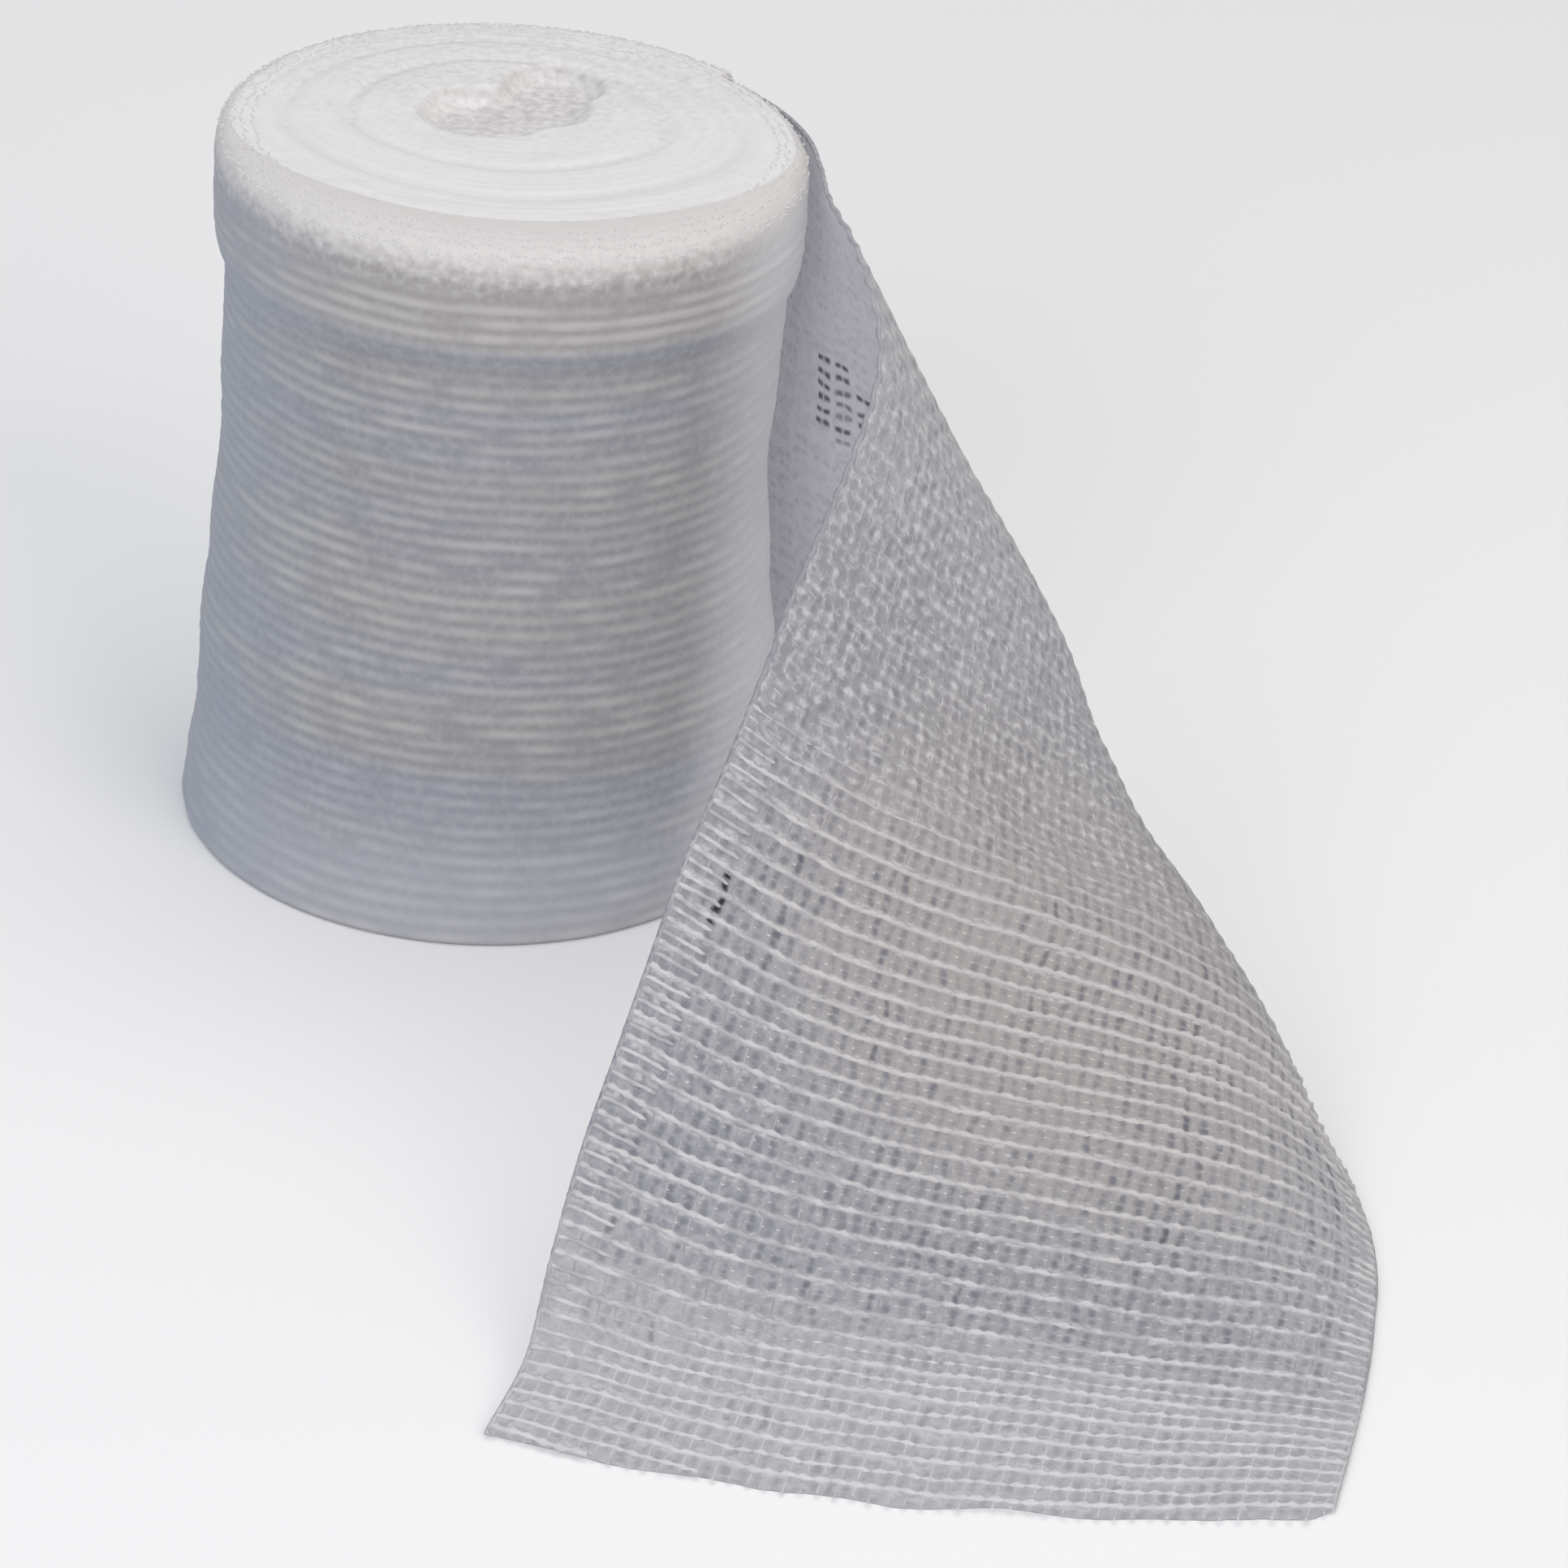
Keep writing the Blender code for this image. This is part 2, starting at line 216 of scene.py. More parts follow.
# %% The loose end's shape
Section = namedtuple("Section", "along upper lower upper_pull lower_pull")
SECTIONS = [Section(*row) for row in (
    (0, (39.8, 0.0, 98.4), (48.8, 4.3, 0.0), (4, 0, -36), (1, 0, 36)),
    (12, (40.9, -11.8, 98.2), (56.4, -5.0, 0.0), (13, 4, -40), (2, 2, 40)),
    (24, (43.8, -23.3, 97.2), (64.0, -14.2, 0.0), (22, 4, -44), (4, -2, 46)),
    (36, (46.5, -34.5, 94.0), (71.5, -23.7, 0.0), (30, 6, -52), (4, -3, 56)),
    (48, (47.3, -44.5, 88.0), (78.6, -33.8, 0.0), (32, 5, -49), (4, -3, 53)),
    (60, (44.9, -54.1, 82.0), (85.8, -43.7, 0.0), (34, 5, -51), (3, -4, 48)),
    (80, (38.5, -69.7, 71.0), (97.3, -59.4, 0.0), (38, 4, -46), (6, -4, 38)),
    (100, (32.5, -84.5, 58.5), (107.0, -75.4, 0.1), (40, 2, -34), (2, -2, 28)),
    (120, (25.8, -99.0, 45.5), (113.6, -91.8, 0.3), (40, 0, -26), (-14, 0, 24)),
    (140, (20.2, -113.5, 32.5), (115.5, -110.0, 0.5), (43, 0, -18), (-26, 0, 21)),
    (160, (14.9, -127.5, 20.0), (113.8, -128.0, 0.7), (34, -1, -11), (-27, 0, 14)),
    (175, (11.8, -138.5, 11.0), (111.4, -142.5, 0.7), (34, -2, -5), (-32, 0, 9)),
    (190, (9.3, -150.5, 3.5), (108.3, -156.5, 0.7), (34, -7, 2), (-33, -1, 5)),
    (204, (5.0, -162.9, 0.7), (104.8, -171.0, 0.7), (34, -12, 0), (-33, -4, 0)))]
START_ANGLE = LEAVING_ANGLE - PIECE_GAP / SIDE[-1].radius
WRAP_CLEARANCE, WRAPPED, WRAPPED_TOP = 0.4, 30.0, 98.2
LIFTED_ALONG, LIFTED_LOWER_EDGE, SHAPE_FADES_AT = -15.0, (39.6, 16.4, 0.0), 30.0
LOOSE_LENGTH = SECTIONS[-1].along + WRAPPED
FRONT_ANGLE = -0.5 * pi
ACROSS_STEPS, CURVE_SAMPLES = 100, 128
DENT_DEPTH, DENT_ALONG, DENT_ALONG_REACH = 1.9, 82.0, 12.0
DENT_ACROSS, DENT_ACROSS_REACH = 0.48, 0.14
CREASE_HEIGHT, CREASE_ALONG, CREASE_REACH = 1.3, 105.0, 6.0
CREASE_ACROSS, CREASE_HALF_WIDTH = 0.525, 0.325


def bezier(start, start_pull, end_pull, end, share):
    """A point of the cubic curve between start and end."""
    left = 1.0 - share
    return (start * left ** 3 + (start + start_pull) * 3.0 * left * left * share
            + (end + end_pull) * 3.0 * left * share * share + end * share ** 3)


def evenly_spaced(curve, steps):
    """Points at even distances along a finely drawn curve."""
    lengths = [0.0]
    for near, far in zip(curve, curve[1:]):
        lengths.append(lengths[-1] + (far - near).length)
    points, piece = [], 0
    for step in range(steps + 1):
        target = lengths[-1] * step / steps
        while piece < len(curve) - 2 and lengths[piece + 1] < target:
            piece += 1
        share = (target - lengths[piece]) / (lengths[piece + 1] - lengths[piece])
        points.append(curve[piece].lerp(curve[piece + 1], share))
    return points


def section_line(row):
    """The crosswise line of one row, from the upper edge to the lower edge."""
    ends = [Vector(end) for end in (row.upper, row.upper_pull, row.lower_pull, row.lower)]
    curve = [bezier(*ends, step / CURVE_SAMPLES) for step in range(CURVE_SAMPLES + 1)]
    return evenly_spaced(curve, ACROSS_STEPS)


def wrapped_point(height, angle, clearance):
    """A point just outside the turn that the loose end still lies on."""
    return side_point(height, angle, 1.0 - (LEAVING_ANGLE - angle) / tau, clearance)


def kept_roll_shape(along, height, angle):
    """How far the cloth near the roll keeps the lip and waist of the side that it was wound on."""
    foot, top = wrapped_point(0.0, angle, 0.0), wrapped_point(WRAPPED_TOP, angle, 0.0)
    hold = ease(along, SHAPE_FADES_AT, LIFTED_ALONG)
    return (wrapped_point(height, angle, 0.0) - foot.lerp(top, height / WRAPPED_TOP)) * hold


def outside_roll(point, clearance):
    """Keep a point of the loose end clear of the turn below it."""
    angle = atan2(point.y, point.x + lean(point.z))
    if not FRONT_ANGLE < angle < LEAVING_ANGLE:
        return point
    out = outward(angle)
    return point + out * max((wrapped_point(point.z, angle, clearance) - point).dot(out), 0.0)


def all_rows():
    """Two rows with straight crosswise lines on the roll, then the table."""
    middle, rows = WRAP_CLEARANCE + 0.5 * LAYER, []
    for along, lower in ((-WRAPPED, wrapped_point(0.0, START_ANGLE, middle)),
                         (LIFTED_ALONG, Vector(LIFTED_LOWER_EDGE))):
        upper = wrapped_point(WRAPPED_TOP, START_ANGLE * along / -WRAPPED, middle)
        third = (lower - upper) / 3.0
        rows.append(Section(along, upper, lower, third, -third))
    return rows + SECTIONS


def row_before(rows, along):
    """The number of the row that lies before a place along the cloth, and the share to the next."""
    index = 0
    while index < len(rows) - 2 and along > rows[index + 1].along:
        index += 1
    return index, (along - rows[index].along) / (rows[index + 1].along - rows[index].along)


def smooth_between(start, start_slope, end, end_slope, share):
    """A value on the cubic curve from start to end that has these slopes at its ends."""
    left = 1.0 - share
    return (start * (1.0 + 2.0 * share) * left * left + start_slope * share * left * left
            + end * share * share * (1.0 + 2.0 * left) - end_slope * share * share * left)


def between_rows(rows, lines, along, column):
    """A point on the smooth lengthwise curve through the rows."""
    index, share = row_before(rows, along)
    span = rows[index + 1].along - rows[index].along

    def slope(row):
        low, high = max(row - 1, 0), min(row + 1, len(rows) - 1)
        reach = rows[high].along - rows[low].along
        return (lines[high][column] - lines[low][column]) * (span / reach)

    return smooth_between(lines[index][column], slope(index),
                          lines[index + 1][column], slope(index + 1), share)


def fold_height(along, across):
    """Height of the soft folds above the loose end's even shape."""
    dent = bump(along, DENT_ALONG, DENT_ALONG_REACH) * bump(across, DENT_ACROSS, DENT_ACROSS_REACH)
    crease = ease(abs(across - CREASE_ACROSS), CREASE_HALF_WIDTH, 0.0)
    return CREASE_HEIGHT * crease * bump(along, CREASE_ALONG, CREASE_REACH) - DENT_DEPTH * dent


def map_cloth():
    """Work the cloth's middle out once, at every millimetre, with its outward directions."""
    rows = all_rows()
    lines = [section_line(row) for row in rows]
    grid, directions = [], []
    for step in range(round(LOOSE_LENGTH) + 1):
        along = step - WRAPPED
        angle = START_ANGLE * min(max(-along / WRAPPED, 0.0), 1.0)
        points = [between_rows(rows, lines, along, column) for column in range(ACROSS_STEPS + 1)]
        grid.append([point + kept_roll_shape(along, point.z, angle) for point in points])
    for row, line in enumerate(grid):
        low, high = grid[max(row - 1, 0)], grid[min(row + 1, len(grid) - 1)]
        directions.append([])
        for column in range(ACROSS_STEPS + 1):
            crosswise = line[min(column + 1, ACROSS_STEPS)] - line[max(column - 1, 0)]
            directions[row].append((high[column] - low[column]).cross(crosswise).normalized())
    for row, line in enumerate(grid):
        for column, direction in enumerate(directions[row]):
            line[column] += direction * fold_height(row - WRAPPED, column / ACROSS_STEPS)
    return grid, directions


cloth_grid, cloth_directions = map_cloth()
print("loose end mapped at", len(cloth_grid) * (ACROSS_STEPS + 1), "points")

# %% [markdown]
# ## Where the yarns run
#
# Warp yarns run lengthwise about 2 mm apart. Weft yarns cross them, just as close, but only every
# second one shows as a bright rib, except near the cut end and in the selvages. Handling pulls the
# weft out of square, so each rib sags a little differently. A short table holds that sag, and both
# the threads and the cloth's own UV map follow it.

# %% Yarn positions
PITCH = 2.04
WARPS = 49
COARSE_FROM, COARSE_TO = 88.0, 112.0
FINE_FROM, FINE_TO = 178.0, 189.0
SELVAGE = 0.055
ROLLING_HEIGHT, ROLLING_ALONG, ROLLING_ACROSS = 0.45, 13.0, 17.0
LATTICE_HEIGHT, COARSE_LATTICE = 0.05, 0.16
CRINKLED_FROM, CRINKLED_TO = -5.0, 35.0
SagRow = namedtuple("SagRow", "along upper_edge quarter middle three_quarters lower_edge")
SAG = [SagRow(*row) for row in (
    (-30, 0.0, 0.0, 0.0, 0.0, 0.0),
    (20, 6.0, 3.0, 0.0, -2.0, -3.0),
    (60, 11.0, 6.0, 0.0, -4.0, -6.0),
    (90, 7.0, 4.0, 0.0, -2.0, -3.0),
    (112, 2.8, 2.1, 0.0, -0.8, -1.8),
    (125, 0.3, 1.5, 0.0, -2.0, -5.0),
    (140, -3.0, -0.4, 0.0, -1.4, -4.5),
    (155, -5.8, -1.9, 0.0, 0.4, -4.0),
    (172, -7.6, -2.5, 0.0, 0.6, -3.6),
    (190, -7.5, -2.2, 0.0, 0.3, -1.8),
    (204, -4.0, -1.3, 0.0, 0.2, -1.0))]


def weft_sag(along, across):
    """How far along the cloth a weft yarn lies from its own middle."""
    index, share = row_before(SAG, min(max(along, SAG[0].along), SAG[-1].along))
    low, high = SAG[index], SAG[index + 1]
    knots = [near + (far - near) * share for near, far in zip(low[1:], high[1:])]
    place = min(max(across, 0.0), 0.9999) * (len(knots) - 1)
    k = int(place)
    before, after = knots[max(k - 1, 0)], knots[min(k + 2, len(knots) - 1)]
    return smooth_between(knots[k], 0.5 * (knots[k + 1] - before),
                          knots[k + 1], 0.5 * (after - knots[k]), place - k)


def weft_count(along, across):
    """Which weft yarn lies at a point, as a number that grows along the cloth."""
    return (along - weft_sag(along, across) + WRAPPED) / PITCH


def coarseness(along):
    """1 where the loose end turns over and its weave shows as blobs, and 0 where it lies flat."""
    return ease(along, COARSE_TO, COARSE_FROM)


def crinkle(along, across):
    """The small unevenness of soft cloth."""
    width = across * WIDTH
    rolling = ROLLING_HEIGHT * wobble(along / ROLLING_ALONG, width / ROLLING_ACROSS, 2.0)
    lattice = cos(pi * width / PITCH) * cos(pi * weft_count(along, across))
    lattice *= LATTICE_HEIGHT + COARSE_LATTICE * coarseness(along)
    return (rolling + lattice) * ease(along, CRINKLED_FROM, CRINKLED_TO)


def cloth_point(along, across, lift):
    """A point of the loose end, so far outside the middle of its thickness."""
    row = max(along + WRAPPED, 0.0)
    i = min(int(row), len(cloth_grid) - 2)
    place = min(max(across, 0.0), 1.0) * ACROSS_STEPS
    j = min(int(place), ACROSS_STEPS - 1)
    down, over = row - i, place - j

    def blend(grid):
        near, far = [line[j].lerp(line[j + 1], over) for line in grid[i:i + 2]]
        return near.lerp(far, down)

    lift += crinkle(along, across)
    point = blend(cloth_grid) + blend(cloth_directions).normalized() * lift
    return outside_roll(point, WRAP_CLEARANCE + 0.5 * LAYER + lift)


# %% [markdown]
# ## Colours and shader nodes
#
# Every finish here is bleached cotton: matt, a little see-through at its edges, and never pure
# white, because light is lost between the fibres. Colours are picked as sRGB hex values, as in any
# paint program, but the renderer counts light evenly, so one function turns them to linear values.
# One more function adds a shader node, which keeps each finish readable as a list of steps. Places
# in a finish are Object coordinates, so they are in metres.

# %% Colour and node helpers
MATH, MIX, RANGE = "ShaderNodeMath", "ShaderNodeMix", "ShaderNodeMapRange"
NOISE, SPLIT, VECTOR = "ShaderNodeTexNoise", "ShaderNodeSeparateXYZ", "ShaderNodeVectorMath"
TIMES, PLUS, MINUS = {"operation": "MULTIPLY"}, {"operation": "ADD"}, {"operation": "SUBTRACT"}
SCALED = {"operation": "MULTIPLY_ADD"}
SOFT, PAINT = {"interpolation_type": "SMOOTHSTEP"}, {"data_type": "RGBA"}
COTTON = {"Roughness": 0.92, "Specular IOR Level": 0.2,
          "Sheen Weight": 0.10, "Sheen Roughness": 0.6}
RELIEF_DEPTH = 0.0003


def linear(hex_colour):
    """Turn an sRGB hex colour to linear RGBA."""
    parts = [int(hex_colour[k:k + 2], 16) / 255.0 for k in (1, 3, 5)]
    return (*(p / 12.92 if p <= 0.04045 else ((p + 0.055) / 1.055) ** 2.4 for p in parts), 1.0)


def add(tree, kind, settings=None, links=None, output=0):
    """Add a node, set its options and sockets, link what feeds it, and return one of its outputs.

    Sockets may go by number. A Map Range takes 1 to 2 and gives 3 to 4. A Mix of colours goes
    from 6 to 7 by the share 0, and Math works on 0, 1 and 2."""
    node = tree.nodes.new(kind)
    for name, value in (settings or {}).items():
        if isinstance(name, str) and hasattr(node, name):
            setattr(node, name, value)
        else:
            coloured = isinstance(value, str) and value.startswith("#")
            node.inputs[name].default_value = linear(value) if coloured else value
    for name, source in (links or {}).items():
        tree.links.new(source, node.inputs[name])
    return node.outputs[output]


def start_finish(name, values):
    """A new material with uniform values on its shader's sockets, and its node tree."""
    material = bpy.data.materials.new(name)
    material.use_nodes = True
    for socket, value in values.items():
        material.node_tree.nodes["Principled BSDF"].inputs[socket].default_value = value
    return material, material.node_tree


def end_finish(tree, colour, height, strength):
    """Link the finished colour and relief to the shader."""
    relief = add(tree, "ShaderNodeBump", {"Strength": strength, "Distance": RELIEF_DEPTH},
                 {"Height": height})
    shader = tree.nodes["Principled BSDF"]
    tree.links.new(colour, shader.inputs["Base Color"])
    tree.links.new(relief, shader.inputs["Normal"])


# %% [markdown]
# ## Cotton yarn
#
# The yarns are loosely spun bleached cotton. Their twist and loose fibres catch the light in grains
# of under a millimetre, and where a yarn dives under another it lies in shade, which a noise paints
# as dimmer stretches of a few millimetres.
# Two noises on Object coordinates give both. Place counts too: the white is warmer in one spot,
# duller in the fold and cleaner by the cut, where the threads are packed. An image of yarn would do
# the same, but noise has no seams and follows every thread, however it bends.

# %% Cotton yarn
FIBRE_GRAIN, SHADED_STRETCH = 1.0 / 0.0009, 1.0 / 0.0030
WARM_SPOT, WARM_NEAR, WARM_FAR = (0.078, -0.095, 0.034), 0.015, 0.060
COARSE_BACK, COARSE_FRONT = -0.070, -0.092
CUT_BACK, CUT_FRONT, CUT_WHITE = -0.138, -0.158, "#D2D2D4"


def warmth(tree, place):
    """How close a point is to the part of the loose end that looks warmest."""
    distance = add(tree, VECTOR, {"operation": "DISTANCE", 1: WARM_SPOT}, {0: place}, "Value")
    return add(tree, RANGE, {**SOFT, 1: WARM_FAR, 2: WARM_NEAR}, {0: distance})


def make_yarn(name, dim, bright, warm):
    """Soft spun yarn with fibre grain and painted shade in dimmer stretches, warmer, duller or
    cleaner by place.
    """
    material, tree = start_finish(name, COTTON)
    place = add(tree, "ShaderNodeTexCoord", output="Object")
    # A slow noise paints dimmer stretches, as the shade where a yarn dives under another.
    shaded_stretch = add(tree, NOISE, {"Scale": SHADED_STRETCH, "Detail": 2.0}, {"Vector": place})
    shaded_stretch = add(tree, RANGE, {**SOFT, 1: 0.36, 2: 0.64}, {0: shaded_stretch})
    colour = add(tree, MIX, {**PAINT, 6: dim, 7: bright}, {0: shaded_stretch}, 2)
    near = add(tree, MATH, {**TIMES, 1: 0.75}, {0: warmth(tree, place)})
    away = add(tree, SPLIT, {}, {0: place}, 1)
    folded = add(tree, RANGE, {**SOFT, 1: COARSE_FRONT, 2: COARSE_BACK, 4: 0.8}, {0: away})
    packed = add(tree, RANGE, {**SOFT, 1: CUT_BACK, 2: CUT_FRONT, 4: 0.6}, {0: away})
    for share, paint in ((near, warm), (folded, dim), (packed, CUT_WHITE)):
        colour = add(tree, MIX, {**PAINT, 7: paint}, {0: share, 6: colour}, 2)
    grain = add(tree, NOISE, {"Scale": FIBRE_GRAIN, "Detail": 3.0}, {"Vector": place})
    end_finish(tree, colour, grain, 0.6)
    return material


rib_yarn = make_yarn("bleached cotton weft yarn", "#ACACB0", "#CBCACB", "#C5C0BE")
warp_yarn = make_yarn("bleached cotton warp yarn", "#98989E", "#AEAEB2", "#A8A3A1")
loop_yarn = make_yarn("cotton selvage loops", "#D6D5D4", "#E6E5E4", "#E0DEDD")

# %% [markdown]
# ## The plies of the loose end
#
# The unwound stretch is several plies of gauze that cling together. The gaps of one ply are mostly
# filled by the yarns of the next, so between the ribs the cloth is a soft grey lattice in shade,
# with a dark slot only where all gaps meet. Cutting every hole would need millions of faces, so the
# finish of one thin sheet paints the lattice: painted shade in its gaps and slots, and near-black
# painted shade in a few torn holes. The threads that come next give it relief. The sheet is a grid
# that is moved on to the mapped cloth, and Solidify gives it thickness. Its UV map counts yarns, so
# the lattice lies exactly between the threads. As real gauze is mostly holes, the sheet keeps no
# light from what lies behind it: only the threads do.

# %% Open plies finish
LADDERS = (7.0, 15.0, 19.0, 24.0, 35.0)
GAP_REACH, HAZE_FROM, HAZE_TO = 0.37, 0.23, 0.09
COARSE_RIB, FLAT_RIB = 28.0, 35.0
PACKED_RIB, CUT_RIB = 48.0, 54.0
WOUND_RIB, UNWOUND_RIB = 14.0, 26.0
PALE_FROM, PALE_TO = 34.0, 48.0
SELVAGE_AT, CLEAR_AT = 23.6, 21.4
SLOT_SHADE, TORN_HOLE_SHADE = "#4A4B54", "#2B2D35"
Patch = namedtuple("Patch", "column columns rib ribs odds")


def make_plies_finish(name, thin, thick, haze, warm, gap_shade, slot_share, patch):
    """Cotton plies with painted shade in a lattice of gaps, and darker painted shade in slots where
    all gaps meet.
    """
    material, tree = start_finish(name, COTTON)
    place = add(tree, "ShaderNodeTexCoord", output="Object")

    # No two meshes of gauze are alike, so a slow noise pulls the yarn count out of true.
    pull = add(tree, NOISE, {"Scale": 1.0 / 0.004, "Detail": 1.0}, {"Vector": place}, "Color")
    pull = add(tree, VECTOR, {**SCALED, 1: (0.9, 0.2, 0.0), 2: (-0.45, -0.1, 0.0)}, {0: pull})
    count = add(tree, "ShaderNodeUVMap", {"uv_map": "yarns"})
    count = add(tree, VECTOR, PLUS, {0: count, 1: pull})
    warp, rib = [add(tree, SPLIT, {}, {0: count}, axis) for axis in (0, 1)]

    # A gap lies between two warps, and from rib to rib, half closed by the thin weft between them.
    column = add(tree, MATH, {"operation": "ROUND"}, {0: warp})
    beside, from_rib = [add(tree, MATH, {"operation": "PINGPONG", 1: 0.5}, {0: number})
                        for number in (warp, rib)]
    shape = add(tree, RANGE, {**SOFT, 1: GAP_REACH, 2: 0.05}, {0: beside})
    long = add(tree, RANGE, {**SOFT, 1: 0.06, 2: 0.24}, {0: from_rib})
    crossed = add(tree, RANGE, {**SOFT, 1: 0.5, 2: 0.38, 3: 0.35}, {0: from_rib})
    for share in (long, crossed):
        shape = add(tree, MATH, TIMES, {0: shape, 1: share})

    # Each gap has its own depth of painted shade and is crossed by stray fibres. A cloud of deeper
    # shaded gaps drifts over the cloth. Where it turns over, in the selvages and by the cut, they
    # are pulled nearly shut.
    cloudy = add(tree, NOISE, {"Scale": 1.0 / 0.0014, "Detail": 2.0}, {"Vector": place})
    cloudy = add(tree, RANGE, {**SOFT, 1: 0.34, 2: 0.66}, {0: cloudy})
    stray = add(tree, RANGE, {3: 1.0, 4: 0.4}, {0: cloudy})
    from_middle = add(tree, MATH, {**MINUS, 1: 0.5 * WARPS}, {0: warp})
    from_middle = add(tree, MATH, {"operation": "ABSOLUTE"}, {0: from_middle})
    inside = add(tree, RANGE, {**SOFT, 1: SELVAGE_AT, 2: CLEAR_AT, 3: 0.3}, {0: from_middle})
    dense = add(tree, RANGE, {**SOFT, 1: PACKED_RIB, 2: CUT_RIB, 3: 1.0, 4: 0.45}, {0: rib})
    inside = add(tree, MATH, TIMES, {0: inside, 1: dense})
    row = add(tree, MATH, {"operation": "FLOOR"}, {0: rib})
    cell = add(tree, "ShaderNodeCombineXYZ", {}, {0: column, 1: row})
    chance = add(tree, "ShaderNodeTexWhiteNoise", {"noise_dimensions": "2D"}, {"Vector": cell})
    cloud = add(tree, NOISE, {"Scale": 0.16, "Detail": 1.0}, {"Vector": cell})
    deep_shade = add(tree, MATH, {**SCALED, 1: 0.6}, {0: chance, 2: cloud})
    deep_shade = add(tree, RANGE, {**SOFT, 1: 0.45, 2: 1.20, 3: 0.40}, {0: deep_shade})
    flat = add(tree, RANGE, {**SOFT, 1: COARSE_RIB, 2: FLAT_RIB}, {0: rib})
    unfolded = add(tree, MATH, {**SCALED, 1: 0.4, 2: 0.6}, {0: flat})
    gap_depth_and_shade = shape
    for share in (deep_shade, unfolded, stray, inside):
        gap_depth_and_shade = add(tree, MATH, TIMES, {0: gap_depth_and_shade, 1: share})

    # Where a warp is missing in one ply, a narrow slot runs from rib to rib, with dark painted
    # shade in it.
    slot_shade = add(tree, RANGE, {**SOFT, 1: 0.24, 2: 0.05}, {0: beside})
    between = add(tree, RANGE, {**SOFT, 1: 0.08, 2: 0.22}, {0: from_rib})
    odds = add(tree, MATH, {**SCALED, 1: 0.55}, {0: chance, 2: cloud})
    for number in LADDERS:
        missing = add(tree, MATH, {"operation": "COMPARE", 1: number, 2: 0.1}, {0: column})
        odds = add(tree, MATH, {**SCALED, 1: 0.26}, {0: missing, 2: odds})
    odds = add(tree, RANGE, {**SOFT, 1: 1.10, 2: 1.45, 4: slot_share}, {0: odds})
    for share in (between, odds, flat, inside):
        slot_shade = add(tree, MATH, TIMES, {0: slot_shade, 1: share})

    # In one small patch a few gaps are torn right open, with near-black painted shade in them.
    torn_hole_shade = add(tree, RANGE, {1: patch.odds, 2: patch.odds + 0.6}, {0: chance})
    for number, middle, reach in ((column, patch.column, patch.columns),
                                  (rib, patch.rib, patch.ribs)):
        near = add(tree, MATH, {"operation": "COMPARE", 1: middle, 2: reach}, {0: number})
        torn_hole_shade = add(tree, MATH, TIMES, {0: torn_hole_shade, 1: near})
    torn_hole_shade = add(tree, MATH, TIMES, {0: torn_hole_shade, 1: shape})

    # Loose fibres haze the cloth beside each rib, and where it turns over they gather in blobs.
    fibres = add(tree, RANGE, {**SOFT, 1: HAZE_FROM, 2: HAZE_TO, 4: 0.8}, {0: from_rib})
    waves = []
    for number, turns, start in ((warp, tau, pi), (rib, 2.0 * tau, 0.0)):
        wave = add(tree, MATH, {**SCALED, 1: turns, 2: start}, {0: number})
        waves.append(add(tree, MATH, {"operation": "COSINE"}, {0: wave}))
    blob = add(tree, MATH, PLUS, {0: waves[0], 1: waves[1]})
    blob = add(tree, RANGE, {**SOFT, 1: -1.0, 2: 1.6}, {0: blob})
    fibres = add(tree, MIX, {"data_type": "FLOAT"}, {0: flat, 2: blob, 3: fibres})
    fibres = add(tree, MATH, TIMES, {0: fibres, 1: cloudy})

    # The cloth itself is cloudy, lighter where more plies lie under it: by the cut, at its right
    # edge and near the roll.
    pale = add(tree, RANGE, {**SOFT, 1: PACKED_RIB, 2: CUT_RIB, 4: 0.5}, {0: rib})
    for number, start, end, most in ((warp, PALE_FROM, PALE_TO, 0.4),
                                     (rib, UNWOUND_RIB, WOUND_RIB, 0.5)):
        other = add(tree, RANGE, {**SOFT, 1: start, 2: end, 4: most}, {0: number})
        pale = add(tree, MATH, {"operation": "MAXIMUM"}, {0: pale, 1: other})
    colour = add(tree, MIX, {**PAINT, 6: thin, 7: thick}, {0: cloudy}, 2)
    # Painted shade goes into the gaps, the slots and the torn holes.
    for share, paint in ((warmth(tree, place), warm), (pale, haze), (fibres, haze), (gap_depth_and_shade, gap_shade),
                         (slot_shade, SLOT_SHADE), (torn_hole_shade, TORN_HOLE_SHADE)):
        colour = add(tree, MIX, {**PAINT, 7: paint}, {0: share, 6: colour}, 2)
    height = add(tree, MATH, MINUS, {0: cloudy, 1: gap_depth_and_shade})
    height = add(tree, MATH, PLUS, {0: height, 1: fibres})
    end_finish(tree, colour, height, 0.5)
    return material


outer_plies = make_plies_finish(
    "open gauze plies", "#8F9197", "#A3A3A8", "#C1C0C2", "#A5A09E", "#72737C", 0.50,
    Patch(column=3.0, columns=0.1, rib=37.3, ribs=1.0, odds=-1.0))
inner_plies = make_plies_finish(
    "open gauze inner plies", "#98989F", "#A2A1A9", "#A2A1A9", "#A3A0A7", "#7D7D88", 0.3,
    Patch(column=17.0, columns=3.1, rib=8.8, ribs=1.6, odds=0.05))

# Thin cotton glows where it is lit from its other side, so light runs through the inner plies.
shader = inner_plies.node_tree.nodes["Principled BSDF"]
shader.inputs["Subsurface Weight"].default_value = 1.0
shader.inputs["Subsurface Radius"].default_value = (1.0, 1.0, 1.0)
shader.inputs["Subsurface Scale"].default_value = 4.0 * MM

# %% Open plies
PLIES_THICKNESS = 0.5
PLY_ROWS, PLY_COLUMNS = 250, 104
END_WAVE = 0.7
CORNER_FROM, CORNER_CUT = 0.965, 2.5


